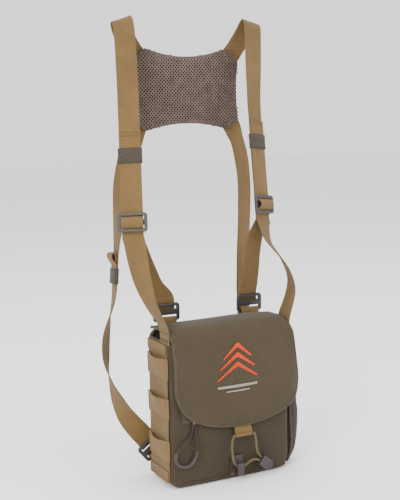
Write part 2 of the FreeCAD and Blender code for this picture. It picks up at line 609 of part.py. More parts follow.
def top_tab(side, seat):
    """The folded tab that stands on the back panel's top edge round the lock's bar."""
    bar = seat.point(-9.5, SIZE["buckle_thick"] / 2)
    half = SIZE["web_width"] / 2
    top = SIZE["pack_top"]
    outline = [(-2.6, top), (-0.2, top), (5.6, bar.z - 2.6), (5.6, bar.z + 3), (-1.4, bar.z + 3),
               (-1.4, bar.z - 2.6)]
    hole = [(0.1, bar.z - 1.9), (4.7, bar.z - 1.9), (4.7, bar.z + 2.5), (0.1, bar.z + 2.5)]
    loops = [edges_of([(y, z) for y, z in outline]), edges_of(hole)]
    padded(f"{side}_top_tab", "YZ_Plane", loops, "web_width",
           placement=FreeCAD.Placement(V(bar.x - half, 0, 0), FreeCAD.Rotation()))


def check_and_export():
    """Stop on any failed object, then write each sub-part to its own file."""
    DOC.recompute()
    failed = [item.Label for item in DOC.Objects if set(item.State) & {"Invalid", "Error"}]
    failed += [node.Label for node in NODES if node.Shape.isNull() or not node.Shape.isValid()]
    if failed:
        sys.exit(f"failed: {sorted(set(failed))}")
    os.makedirs("parts", exist_ok=True)
    for node in NODES:
        node.Shape.exportStep(f"parts/{node.Label}.step")
        print(f"{node.Label}: {node.Shape.Volume:.0f} mm3, {len(node.Shape.Solids)} solid")
    print(f"{len(NODES)} sub-parts")


def main():
    pack_shell()
    zip_closure()
    side_ladder()
    stash_pocket()
    lid()
    lid_trim()
    pull_loop()
    closure()
    mesh_pad()
    for side in ("left", "right"):
        harness_side(side)
    check_and_export()


if __name__ == "__main__":
    main()
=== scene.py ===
"""Looks of a binocular harness pack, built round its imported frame.

Lengths in the piece classes are millimetres, as a pack maker writes them, and
`mm` turns them into the frame's metres.
"""
import json
import logging
import math
from dataclasses import dataclass
from enum import Enum

import bpy
import numpy as np
from mathutils import Matrix, Vector

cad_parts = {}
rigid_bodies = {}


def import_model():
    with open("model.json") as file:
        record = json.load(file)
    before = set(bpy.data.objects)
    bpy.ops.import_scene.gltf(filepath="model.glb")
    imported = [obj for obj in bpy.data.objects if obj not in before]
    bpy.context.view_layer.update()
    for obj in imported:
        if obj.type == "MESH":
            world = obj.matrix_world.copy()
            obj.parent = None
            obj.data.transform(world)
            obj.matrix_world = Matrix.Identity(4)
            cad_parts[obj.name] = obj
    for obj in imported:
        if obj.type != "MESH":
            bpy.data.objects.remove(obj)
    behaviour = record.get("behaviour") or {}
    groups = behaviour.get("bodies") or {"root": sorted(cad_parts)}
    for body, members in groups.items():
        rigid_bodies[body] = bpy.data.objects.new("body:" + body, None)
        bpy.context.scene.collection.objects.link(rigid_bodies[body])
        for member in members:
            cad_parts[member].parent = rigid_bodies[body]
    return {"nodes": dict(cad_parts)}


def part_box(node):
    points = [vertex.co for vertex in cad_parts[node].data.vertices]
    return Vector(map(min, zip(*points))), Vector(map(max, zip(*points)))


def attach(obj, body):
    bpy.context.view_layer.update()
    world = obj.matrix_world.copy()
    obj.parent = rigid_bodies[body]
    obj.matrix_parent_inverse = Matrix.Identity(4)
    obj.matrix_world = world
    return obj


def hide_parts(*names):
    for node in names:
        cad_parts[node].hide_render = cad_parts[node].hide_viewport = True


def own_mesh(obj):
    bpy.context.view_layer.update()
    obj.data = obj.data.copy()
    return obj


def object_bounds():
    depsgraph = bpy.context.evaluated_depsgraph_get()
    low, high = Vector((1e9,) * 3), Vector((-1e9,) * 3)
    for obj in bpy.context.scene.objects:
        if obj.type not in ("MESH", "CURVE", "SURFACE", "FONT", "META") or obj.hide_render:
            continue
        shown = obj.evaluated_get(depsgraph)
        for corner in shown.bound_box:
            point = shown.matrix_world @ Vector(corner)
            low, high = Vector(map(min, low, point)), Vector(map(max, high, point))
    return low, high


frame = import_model()
CAD_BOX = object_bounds()
LOG = logging.getLogger("harness_pack")
MM = 0.001
TURN = 2 * math.pi
Rows = list[tuple]


def mm(*values: float) -> Vector:
    """A point or vector given in millimetres."""
    return Vector([value * MM for value in values])


# ------------------------------------------------------------------ finishes
class Pattern(Enum):
    """What a surface is made of, close up."""

    WEAVE = "plain_weave"
    WEBBING = "herringbone_webbing"
    BRAID = "braided_cord"
    RIB = "ribbed_elastic"
    KNIT = "stretch_knit"
    SATIN = "satin_stitch"
    GRAIN = "moulded_grain"


class GroupMaker:
    """Builds one shader node group that turns a vector into a height and a shade."""

    def __init__(self, name: str) -> None:
        """Start an empty group with its sockets."""
        self.tree = bpy.data.node_groups.new(name, "ShaderNodeTree")
        face = self.tree.interface
        face.new_socket("Vector", in_out="INPUT", socket_type="NodeSocketVector")
        face.new_socket("Pitch", in_out="INPUT", socket_type="NodeSocketFloat")
        face.new_socket("Height", in_out="OUTPUT", socket_type="NodeSocketFloat")
        face.new_socket("Shade", in_out="OUTPUT", socket_type="NodeSocketFloat")
        self.start = self.tree.nodes.new("NodeGroupInput")
        self.end = self.tree.nodes.new("NodeGroupOutput")
        split = self.tree.nodes.new("ShaderNodeSeparateXYZ")
        self.tree.links.new(self.start.outputs["Vector"], split.inputs[0])
        self.across, self.along = split.outputs["X"], split.outputs["Y"]
        self.pitch = self.start.outputs["Pitch"]

    def math(self, kind: str, first, second=None):
        """One math node.

        Args:
            kind: the operation.
            first: a socket or a number.
            second: a socket, a number or nothing.

        Returns:
            The node's output socket.
        """
        node = self.tree.nodes.new("ShaderNodeMath")
        node.operation = kind
        for socket, given in zip(node.inputs, (first, second)):
            if isinstance(given, (int, float)):
                socket.default_value = given
            elif given is not None:
                self.tree.links.new(given, socket)
        return node.outputs[0]

    def wave(self, place, pitch, turn: float = TURN):
        """A sine of a place; one pitch is worth the turn, in radians."""
        return self.math("SINE", self.math("MULTIPLY", self.math("DIVIDE", place, pitch), turn))

    def crossing(self):
        """The product of two waves on crossing slants."""
        one = self.wave(self.math("ADD", self.along, self.across), self.pitch)
        other = self.wave(self.math("SUBTRACT", self.along, self.across), self.pitch)
        return self.math("MULTIPLY", one, other)

    def mix(self, first, share: float, second, other_share: float = 1.0):
        """The weighted sum of two values."""
        second = second if other_share == 1.0 else self.math("MULTIPLY", second, other_share)
        return self.math("ADD", self.math("MULTIPLY", first, share), second)

    def noise(self, scale: float, detail: float = 2.0):
        """Noise over the group's vector, from about 0.2 to 0.8."""
        node = self.tree.nodes.new("ShaderNodeTexNoise")
        self.tree.links.new(self.start.outputs["Vector"], node.inputs["Vector"])
        node.inputs["Scale"].default_value = scale
        node.inputs["Detail"].default_value = detail
        return node.outputs["Fac"]

    def done(self, height, shade) -> bpy.types.ShaderNodeTree:
        """Wire the two outputs and hand the group over."""
        self.tree.links.new(height, self.end.inputs["Height"])
        self.tree.links.new(shade, self.end.inputs["Shade"])
        return self.tree


def weave_group() -> bpy.types.ShaderNodeTree:
    """Plain weave: crowns on two crossing slants, with slubs in the shade."""
    maker = GroupMaker(Pattern.WEAVE.value)
    crowns = maker.crossing()
    return maker.done(maker.mix(crowns, 0.7, maker.noise(1300.0)), maker.mix(crowns, 0.16, maker.noise(600.0, 4.0)))


def webbing_group() -> bpy.types.ShaderNodeTree:
    """Woven webbing: slanted ribs that turn over from one lengthwise row to the next."""
    maker = GroupMaker(Pattern.WEBBING.value)
    row = maker.math("MULTIPLY", maker.pitch, 2.2)
    fold = maker.math("PINGPONG", maker.across, row)
    ribs = maker.wave(maker.mix(fold, 1.1, maker.along), maker.pitch)
    groove = maker.math("ABSOLUTE", maker.wave(maker.across, row, math.pi))
    shade = maker.mix(groove, 0.05, maker.mix(ribs, 0.14, maker.noise(900.0, 3.0)))
    return maker.done(maker.mix(ribs, 0.5, groove, 0.3), shade)


def braid_group() -> bpy.types.ShaderNodeTree:
    """Braided cord: two crossing slants of strands."""
    maker = GroupMaker(Pattern.BRAID.value)
    strands = maker.crossing()
    return maker.done(maker.math("ADD", strands, maker.noise(1500.0)), maker.mix(strands, 0.3, maker.noise(700.0)))


def rib_group(pattern: Pattern, noise_scale: float) -> bpy.types.ShaderNodeTree:
    """Ribs across the run, as on woven elastic and satin stitching."""
    maker = GroupMaker(pattern.value)
    ribs = maker.wave(maker.along, maker.pitch)
    return maker.done(maker.math("ADD", ribs, maker.noise(1200.0)), maker.mix(ribs, 0.18, maker.noise(noise_scale)))


def grain_group(pattern: Pattern, coarse: float, fine: float) -> bpy.types.ShaderNodeTree:
    """Fine grain over a slow drift, for moulded plastic, foam and knit."""
    maker = GroupMaker(pattern.value)
    drift, grain = maker.noise(coarse, 3.0), maker.noise(fine, 2.0)
    return maker.done(grain, maker.mix(grain, 0.4, drift, 0.6))


def wear_group() -> bpy.types.ShaderNodeTree:
    """Slow fading over the whole object, the same wherever it is used."""
    maker = GroupMaker("fading")
    shade = maker.mix(maker.noise(14.0, 4.0), 0.6, maker.noise(60.0, 3.0), 0.4)
    return maker.done(shade, shade)


GROUPS = {
    Pattern.WEAVE: weave_group(),
    Pattern.WEBBING: webbing_group(),
    Pattern.BRAID: braid_group(),
    Pattern.RIB: rib_group(Pattern.RIB, 500.0),
    Pattern.SATIN: rib_group(Pattern.SATIN, 900.0),
    Pattern.KNIT: grain_group(Pattern.KNIT, 120.0, 1100.0),
    Pattern.GRAIN: grain_group(Pattern.GRAIN, 60.0, 2600.0),
}
FADING = wear_group()


def set_inputs(node: bpy.types.Node, values: dict) -> None:
    """Set a node's inputs by name."""
    for name, value in values.items():
        node.inputs[name].default_value = value


@dataclass(frozen=True)
class Finish:
    """One finish: two shades of a colour, a pattern and how it takes light.

    Colours are linear. `depth` is the height of the pattern in millimetres.
    """

    name: str
    light: tuple[float, float, float]
    dark: tuple[float, float, float]
    pattern: Pattern
    pitch: float
    depth: float
    rough: float
    sheen: float = 0.0
    metal: float = 0.0
    fade: float = 0.15
    gloss: float = 0.2
    on_frame: bool = False

    def material(self) -> bpy.types.Material:
        """The finish as a material, made the first time and reused after."""
        name = f"{self.name}_finish"
        if name in bpy.data.materials:
            return bpy.data.materials[name]
        material = bpy.data.materials.new(name)
        material.use_nodes = True
        nodes, links = material.node_tree.nodes, material.node_tree.links
        shader = nodes["Principled BSDF"]
        set_inputs(shader, {"Roughness": self.rough, "Metallic": self.metal, "Sheen Weight": self.sheen,
                            "Sheen Roughness": 0.6, "Specular IOR Level": self.gloss})
        places = nodes.new("ShaderNodeTexCoord")
        pattern = nodes.new("ShaderNodeGroup")
        pattern.node_tree = GROUPS[self.pattern]
        pattern.inputs["Pitch"].default_value = self.pitch * MM
        links.new(places.outputs["Object" if self.on_frame else "UV"], pattern.inputs["Vector"])
        fading = nodes.new("ShaderNodeGroup")
        fading.node_tree = FADING
        links.new(places.outputs["Object"], fading.inputs["Vector"])
        sharpen = nodes.new("ShaderNodeMapRange")
        set_inputs(sharpen, {"From Min": 0.3, "From Max": 0.7})
        links.new(pattern.outputs["Shade"], sharpen.inputs["Value"])
        cloth = nodes.new("ShaderNodeMix")
        cloth.data_type = "RGBA"
        set_inputs(cloth, {"A": (*self.dark, 1.0), "B": (*self.light, 1.0)})
        links.new(sharpen.outputs["Result"], cloth.inputs["Factor"])
        spread = nodes.new("ShaderNodeMapRange")
        set_inputs(spread, {"From Min": 0.35, "From Max": 0.65, "To Min": 1.0 - self.fade, "To Max": 1.0 + self.fade})
        links.new(fading.outputs["Shade"], spread.inputs["Value"])
        faded = nodes.new("ShaderNodeVectorMath")
        faded.operation = "SCALE"
        links.new(cloth.outputs["Result"], faded.inputs[0])
        links.new(spread.outputs["Result"], faded.inputs["Scale"])
        links.new(faded.outputs[0], shader.inputs["Base Color"])
        bump = nodes.new("ShaderNodeBump")
        set_inputs(bump, {"Distance": self.depth * MM, "Strength": 0.9})
        links.new(pattern.outputs["Height"], bump.inputs["Height"])
        links.new(bump.outputs["Normal"], shader.inputs["Normal"])
        return material


TAN_WEBBING = Finish(
    "tan_webbing", (0.152, 0.090, 0.029), (0.094, 0.053, 0.0155),
    Pattern.WEBBING, 1.3, 0.22, 0.75, 0.05)
# The tan webbing made lighter for the ladder loops: painted light for the stronger light that falls on the pack's left
# side.
LOOP_PAINTED_LIGHT_WEBBING = Finish(
    "loop_painted_light_webbing", (0.178, 0.108, 0.036), (0.112, 0.066, 0.0205),
    Pattern.WEBBING, 1.3, 0.22, 0.75, 0.05)
LID_CLOTH = Finish(
    "lid_cloth", (0.051, 0.0365, 0.0190), (0.0315, 0.0225, 0.0112),
    Pattern.WEAVE, 3.0, 0.14, 0.82, 0.05, fade=0.08)
PACK_CLOTH = Finish(
    "pack_cloth", (0.042, 0.0300, 0.0165), (0.0262, 0.0184, 0.0096),
    Pattern.WEAVE, 3.0, 0.14, 0.85, 0.04, fade=0.08)
BINDING_TAPE = Finish(
    "binding_tape", (0.062, 0.0455, 0.0250), (0.040, 0.0290, 0.0150),
    Pattern.RIB, 0.8, 0.1, 0.8, 0.05)
# Dark lining cloth for the pocket wall; the same colour is also painted shadow in the crevice beside the stash pocket.
LINING_AND_PAINTED_SHADOW = Finish("lining_and_painted_shadow_cloth", (0.020, 0.014, 0.009), (0.010, 0.007, 0.0045), Pattern.KNIT, 1.0, 0.08, 0.9)
FOAM = Finish(
    "closed_foam", (0.020, 0.019, 0.018), (0.011, 0.0105, 0.010),
    Pattern.GRAIN, 1.0, 0.15, 0.9, on_frame=True)
KEEPER_ELASTIC = Finish(
    "keeper_elastic", (0.056, 0.0425, 0.0300), (0.034, 0.0255, 0.0180),
    Pattern.RIB, 1.3, 0.2, 0.85, 0.05)
STRETCH_KNIT = Finish(
    "stretch_knit", (0.034, 0.0195, 0.0170), (0.018, 0.0105, 0.0095),
    Pattern.KNIT, 1.0, 0.1, 0.8, 0.08)
SHOCK_CORD = Finish("shock_cord", (0.150, 0.112, 0.050), (0.070, 0.050, 0.023), Pattern.BRAID, 1.0, 0.15, 0.75, 0.05)
PULL_CORD = Finish("pull_cord", (0.040, 0.029, 0.022), (0.018, 0.0135, 0.0105), Pattern.BRAID, 0.8, 0.12, 0.75, 0.05)
PULL_SLEEVE = Finish(
    "pull_sleeve", (0.040, 0.0285, 0.0255), (0.028, 0.0200, 0.0180),
    Pattern.GRAIN, 1.0, 0.03, 0.45, gloss=0.4, on_frame=True)
BUCKLE_PLASTIC = Finish(
    "buckle_plastic", (0.036, 0.0255, 0.0222), (0.024, 0.0172, 0.0152),
    Pattern.GRAIN, 1.0, 0.035, 0.42, gloss=0.45, on_frame=True)
DARK_PLASTIC = Finish(
    "dark_plastic", (0.021, 0.0155, 0.0150), (0.012, 0.0090, 0.0088),
    Pattern.GRAIN, 1.0, 0.035, 0.4, gloss=0.45, on_frame=True)
LOCK_PLASTIC = Finish(
    "cord_lock_plastic", (0.037, 0.0258, 0.0270), (0.024, 0.0170, 0.0180),
    Pattern.GRAIN, 1.0, 0.035, 0.42, gloss=0.45, on_frame=True)
HOOK_PLASTIC = Finish(
    "hook_plastic", (0.032, 0.0230, 0.0215), (0.020, 0.0145, 0.0140),
    Pattern.GRAIN, 1.0, 0.035, 0.42, gloss=0.45, on_frame=True)
TAN_THREAD = Finish("tan_thread", (0.125, 0.074, 0.0235), (0.070, 0.040, 0.0125), Pattern.SATIN, 0.5, 0.05, 0.6, 0.05)
DARK_THREAD = Finish("dark_thread", (0.020, 0.014, 0.009), (0.011, 0.008, 0.005), Pattern.SATIN, 0.5, 0.05, 0.6)
ORANGE_THREAD = Finish(
    "orange_thread", (0.62, 0.050, 0.006), (0.42, 0.028, 0.003),
    Pattern.SATIN, 0.55, 0.12, 0.5, 0.0, fade=0.06)
PALE_THREAD = Finish(
    "pale_thread", (0.34, 0.30, 0.25), (0.20, 0.175, 0.145),
    Pattern.SATIN, 0.55, 0.12, 0.5, 0.05, fade=0.06)
MESH_THREAD = Finish(
    "mesh_thread", (0.122, 0.0890, 0.0715), (0.074, 0.0530, 0.0420),
    Pattern.KNIT, 1.0, 0.1, 0.8, 0.05, on_frame=True)
MESH_EDGE = Finish(
    "mesh_edge_tape", (0.070, 0.0500, 0.0390), (0.042, 0.0300, 0.0235),
    Pattern.RIB, 0.8, 0.1, 0.8, 0.05)
# Near-black, for the spacer mesh's core: painted shade for the depth seen through the mesh's holes.
MESH_PAINTED_SHADE = Finish(
    "mesh_painted_shade", (0.010, 0.0066, 0.0050), (0.005, 0.0034, 0.0026),
    Pattern.KNIT, 1.0, 0.2, 0.95, on_frame=True)
ZIP_NYLON = Finish(
    "zip_nylon", (0.030, 0.022, 0.015), (0.018, 0.0135, 0.0095),
    Pattern.GRAIN, 1.0, 0.02, 0.4, gloss=0.45, on_frame=True)
SLIDER_METAL = Finish(
    "slider_metal", (0.10, 0.09, 0.08), (0.06, 0.055, 0.05),
    Pattern.GRAIN, 1.0, 0.02, 0.4, metal=0.9, gloss=0.5, on_frame=True)


# ------------------------------------------------------------- mesh helpers
def edit_mode() -> None:
    """Enter edit mode on the active piece."""
    bpy.ops.object.mode_set(mode="EDIT")


def object_mode() -> None:
    """Leave edit mode."""
    bpy.ops.object.mode_set(mode="OBJECT")


def deselect() -> None:
    """Clear the selection, so that the next operator touches only what it adds."""
    bpy.ops.object.select_all(action="DESELECT")


def only(piece: bpy.types.Object) -> None:
    """Select one piece and make it active."""
    deselect()
    piece.select_set(True)
    bpy.context.view_layer.objects.active = piece


def pick(piece: bpy.types.Object, kind: str, wanted) -> None:
    """Enter edit mode with just the wanted edges or faces selected.

    Args:
        piece: the mesh.
        kind: EDGE or FACE.
        wanted: a test that is given each edge's two ends, or each face's middle.
    """
    only(piece)
    edit_mode()
    bpy.ops.mesh.select_mode(type=kind)
    bpy.ops.mesh.select_all(action="DESELECT")
    object_mode()
    mesh = piece.data
    if kind == "EDGE":
        for edge in mesh.edges:
            edge.select = wanted(*(mesh.vertices[index].co for index in edge.vertices))
    else:
        for face in mesh.polygons:
            face.select = wanted(face.center)
    edit_mode()


def finish_piece(piece: bpy.types.Object, finish: Finish, body: str,
                 replaces: tuple[str, ...] = (), smooth: float = 40.0) -> bpy.types.Object:
    """Dress a piece, smooth it and hang it on its body.

    Args:
        piece: the finished mesh or curve.
        finish: its material.
        body: the frame's body that it rides on.
        replaces: the frame's nodes that it stands for.
        smooth: edges sharper than this many degrees stay sharp.

    Returns:
        The same piece.
    """
    piece.data.materials.clear()
    piece.data.materials.append(finish.material())
    if piece.type == "MESH" and smooth:
        only(piece)
        bpy.ops.object.shade_smooth_by_angle(angle=math.radians(smooth))
    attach(piece, body)
    if replaces:
        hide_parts(*replaces)
    return piece


def apply_modifiers(piece: bpy.types.Object) -> None:
    """Apply every modifier in order."""
    only(piece)
    for modifier in list(piece.modifiers):
        bpy.ops.object.modifier_apply(modifier=modifier.name)


def add_bevel(piece: bpy.types.Object, width: float, segments: int = 2, angle: float = 30.0) -> None:
    """A bevel of so many millimetres on edges sharper than the angle."""
    bevel = piece.modifiers.new("edges", "BEVEL")
    bevel.width = width * MM
    bevel.segments = segments
    bevel.limit_method = "ANGLE"
    bevel.angle_limit = math.radians(angle)


def block(name: str, low: Vector, high: Vector) -> bpy.types.Object:
    """A cube primitive between two corners, with its place in its mesh."""
    deselect()
    bpy.ops.mesh.primitive_cube_add(size=1.0, location=(low + high) / 2)
    piece = bpy.context.object
    piece.name = name
    piece.scale = high - low
    bpy.ops.object.transform_apply(location=True, rotation=True, scale=True)
    return piece


def sweep(name: str, rings: list[list[Vector]], closed: bool = False) -> bpy.types.Object:
    """Skin a row of rings with a grid, its surface map in metres.

    Args:
        name: the piece's name.
        rings: sections of equal count, each a closed loop of points.
        closed: whether the last ring joins the first.

    Returns:
        A closed mesh whose faces point outwards.
    """
    count, rows = len(rings[0]), len(rings)
    loops = [ring + [ring[0]] for ring in rings]
    if closed:
        loops.append(loops[0])
        rows += 1
    deselect()
    bpy.ops.mesh.primitive_grid_add(x_subdivisions=count, y_subdivisions=rows - 1, size=1.0)
    piece = bpy.context.object
    piece.name = name
    mesh = piece.data
    around = [0.0]
    for a, b in zip(loops[rows // 2], loops[rows // 2][1:]):
        around.append(around[-1] + (b - a).length)
    along = [0.0]
    for a, b in zip(loops, loops[1:]):
        along.append(along[-1] + (sum(b, Vector()) / len(b) - sum(a, Vector()) / len(a)).length)
    mesh.vertices.foreach_set("co", [value for loop in loops for point in loop for value in point])
    layer = mesh.uv_layers.active.data
    for corner in mesh.loops:
        row, column = divmod(corner.vertex_index, count + 1)
        layer[corner.index].uv = (around[column], along[row])
    edit_mode()
    bpy.ops.mesh.select_mode(type="VERT")
    bpy.ops.mesh.select_all(action="SELECT")
    bpy.ops.mesh.remove_doubles(threshold=1e-6)
    if not closed:
        bpy.ops.mesh.select_all(action="DESELECT")
        bpy.ops.mesh.select_non_manifold()
        bpy.ops.mesh.fill_holes(sides=0)
        bpy.ops.mesh.select_all(action="SELECT")
    bpy.ops.mesh.normals_make_consistent(inside=False)
    object_mode()
    mesh.update()
    return piece


def spline(points: list[Vector], per: int) -> list[Vector]:
    """A smooth line led by its points, which it starts and ends on.

    Args:
        points: the leading points.
        per: how many steps each span is cut into.

    Returns:
        Points along a uniform cubic B-spline.
    """
    led = [points[0] * 2 - points[1]] + list(points) + [points[-1] * 2 - points[-2]]
    line = []
    for a, b, c, d in zip(led, led[1:], led[2:], led[3:]):
        for step in range(per):
            t = step / per
            line.append((a * (1 - t) ** 3 + b * (3 * t ** 3 - 6 * t ** 2 + 4)
                         + c * (-3 * t ** 3 + 3 * t ** 2 + 3 * t + 1) + d * t ** 3) / 6)
    return line + [points[-1].copy()]


def directions(line: list[Vector]) -> list[Vector]:
    """The unit direction of travel at each point of a line."""
    ways = []
    for index in range(len(line)):
        before, after = line[max(index - 1, 0)], line[min(index + 1, len(line) - 1)]
        ways.append((after - before).normalized())
    return ways


def strap_section(width: float, thick: float) -> Rows:
    """The section of a piece of webbing as (across, out) points, its selvedges rolled.

    Args:
        width: in millimetres.
        thick: in millimetres.

    Returns:
        The whole loop of section points.
    """
    half, rise = width / 2, thick / 2
    top = [(half, 0.0), (half - 0.25, rise * 0.75), (half - 0.9, rise * 1.08), (half - 2.2, rise * 0.95)]
    top += [(half * 0.5, rise), (0.0, rise), (-half * 0.5, rise)]
    top += [(-across, out) for across, out in reversed(top[:4])]
    return top + [(across, -out) for across, out in reversed(top[1:-1])]


def strap(name: str, stations: list[tuple[Vector, Vector]], per: int = 6, width: float = 25.0,
          thick: float = 1.5, cup: float = 0.0) -> bpy.types.Object:
    """Webbing through stations of a place and the direction of its width.

    Args:
        name: the piece's name.
        stations: places and width directions, which lead a smooth line.
        per: steps between stations.
        width: of the webbing, in millimetres.
        thick: of the webbing, in millimetres.
        cup: how far the edges curl out of its plane, in millimetres.

    Returns:
        The strap's mesh.
    """
    line = spline([place for place, _ in stations], per)
    hints = spline([hint.normalized() for _, hint in stations], per)
    rings = []
    for index, (place, way, hint) in enumerate(zip(line, directions(line), hints)):
        across = (hint - way * hint.dot(way)).normalized()
        out = across.cross(way)
        drift = 0.18 * math.sin(index * 0.61) + 0.12 * math.sin(index * 0.23 + 1.0)
        ring = []
        for a, o in strap_section(width, thick):
            curl = cup * (2 * a / width) ** 2 + drift * (2 * a / width)
            ring.append(place + across * a * MM + out * (o + curl) * MM)
        rings.append(ring)
    return sweep(name, rings)


def webbing(name: str, stations: list[tuple[Vector, Vector]], nodes: tuple[str, ...] = (), per: int = 6,
            width: float = 25.0, thick: float = 1.5, cup: float = 0.0, finish: Finish = TAN_WEBBING,
            body: str = "pack") -> bpy.types.Object:
    """A strap with its webbing finish, standing for some of the frame's nodes."""
    return finish_piece(strap(name, stations, per, width, thick, cup), finish, body, nodes)


def circle_rings(line: list[Vector], radii: list[float], sides: int = 12) -> list[list[Vector]]:
    """Round sections along a line, without a twist between one and the next."""
    ways = directions(line)
    side = ways[0].orthogonal().normalized()
    rings = []
    for place, way, radius in zip(line, ways, radii):
        side = (side - way * side.dot(way)).normalized()
        other = way.cross(side)
        rings.append([place + (side * math.cos(turn) + other * math.sin(turn)) * radius * MM
                      for turn in (TURN * step / sides for step in range(sides))])
    return rings


def tube(name: str, line: list[Vector], radius: float, sides: int = 12) -> bpy.types.Object:
    """A round tube of one radius along a line."""
    return sweep(name, circle_rings(line, [radius] * len(line), sides))


def copies(name: str, seed: bpy.types.Object, places: list[Matrix]) -> bpy.types.Object:
    """One mesh of a small seed repeated at each place; the seed is used up."""
    points = np.array([vertex.co for vertex in seed.data.vertices])
    faces = [tuple(face.vertices) for face in seed.data.polygons]
    all_points, all_faces = [], []
    for index, place in enumerate(places):
        matrix = np.array(place)
        all_points.append(points @ matrix[:3, :3].T + matrix[:3, 3])
        all_faces += [tuple(corner + index * len(points) for corner in face) for face in faces]
    mesh = bpy.data.meshes.new(name)
    mesh.from_pydata(np.concatenate(all_points).tolist(), [], all_faces)
    mesh.uv_layers.new(name="UVMap")
    piece = bpy.data.objects.new(name, mesh)
    bpy.context.scene.collection.objects.link(piece)
    bpy.data.objects.remove(seed)
    project_map(piece)
    return piece


def project_map(piece: bpy.types.Object) -> None:
    """Lay the surface map on each face along its nearest axis, in metres."""
    mesh = piece.data
    if not mesh.uv_layers:
        mesh.uv_layers.new(name="UVMap")
    layer = mesh.uv_layers.active.data
    for face in mesh.polygons:
        flat = max(range(3), key=lambda axis: abs(face.normal[axis]))
        first, second = [(1, 2), (0, 2), (0, 1)][flat]
        for corner in face.loop_indices:
            place = mesh.vertices[mesh.loops[corner].vertex_index].co
            layer[corner].uv = (place[first], place[second])


def frame_of(place: Vector, way: Vector, out: Vector) -> Matrix:
    """A matrix whose X runs along the way and whose Z points out."""
    along = way.normalized()
    up = (out - along * out.dot(along)).normalized()
    across = up.cross(along)
    return Matrix(((along.x, across.x, up.x, place.x), (along.y, across.y, up.y, place.y),
                   (along.z, across.z, up.z, place.z), (0, 0, 0, 1)))


def stitch_seed(length: float, thick: float) -> bpy.types.Object:
    """One thread stitch along X, a low-sided bead."""
    deselect()
    bpy.ops.mesh.primitive_uv_sphere_add(segments=6, ring_count=4, radius=0.5)
    seed = bpy.context.object
    seed.rotation_euler = (0, math.pi / 2, 0)
    bpy.ops.object.transform_apply(location=False, rotation=True, scale=False)
    seed.scale = (length * MM, thick * MM, thick * 0.7 * MM)
    bpy.ops.object.transform_apply(location=False, rotation=False, scale=True)
    return seed


def stitches(name: str, line: list[Vector], out: Vector, finish: Finish, body: str,
             pitch: float = 3.2, length: float = 2.5, thick: float = 0.55) -> bpy.types.Object:
    """A row of stitches along a line.

    Args:
        name: the piece's name.
        line: the seam's points.
        out: the side that the stitches lie on.
        finish: the thread.
        body: the body that they ride on.
        pitch: from one stitch to the next, in millimetres.
        length: of one stitch, in millimetres.
        thick: of the thread, in millimetres.

    Returns:
        One piece with all the stitches.
    """
    places, travelled, due = [], 0.0, pitch * MM / 2
    for a, b in zip(line, line[1:]):
        step = (b - a).length
        while due <= travelled + step:
            spot = a + (b - a) * ((due - travelled) / max(step, 1e-9))
            places.append(frame_of(spot, b - a, out))
            due += pitch * MM
        travelled += step
    piece = copies(name, stitch_seed(length, thick), places)
    return finish_piece(piece, finish, body, smooth=0)


def dress_node(node: str, finish: Finish, bevel: float) -> None:
    """Give a moulded frame node its finish and softened edges."""
    piece = frame["nodes"][node]
    for index in range(len(piece.material_slots)):
        piece.material_slots[index].material = finish.material()
    weld = piece.modifiers.new("weld", "WELD")
    weld.merge_threshold = 1e-6
    add_bevel(piece, bevel, 3)
    for face in piece.data.polygons:
        face.use_smooth = False


class Seat:
    """The local frame of a buckle on webbing: across, along and out."""

    def __init__(self, place: tuple, top: tuple, yaw: float | tuple) -> None:
        """Place it by a point, a point further up the webbing and a yaw or width direction."""
        self.place = mm(*place)
        self.along = (mm(*top) - self.place).normalized()
        hint = Vector(yaw) if isinstance(yaw, tuple) else yawed(yaw)
        self.across = (hint - self.along * hint.dot(self.along)).normalized()
        self.out = self.across.cross(self.along)

    def point(self, along: float, out: float = 0.0, across: float = 0.0) -> Vector:
        """A place in this frame, from millimetres."""
        return self.place + (self.along * along + self.out * out + self.across * across) * MM

    def stations(self, rows: Rows) -> list[tuple[Vector, Vector]]:
        """Strap stations from rows of (along, out)."""
        return [(self.point(*row), self.across) for row in rows]


def yawed(degrees: float) -> Vector:
    """A level unit vector turned from +X about +Z."""
    return Vector((math.cos(math.radians(degrees)), math.sin(math.radians(degrees)), 0.0))


def hinted(rows: Rows) -> list[tuple[Vector, Vector]]:
    """Strap stations from rows of x, y, z and a yaw or a width direction."""
    stations = []
    for x, y, z, hint in rows:
        stations.append((mm(x, y, z), Vector(hint) if isinstance(hint, tuple) else yawed(hint)))
    return stations


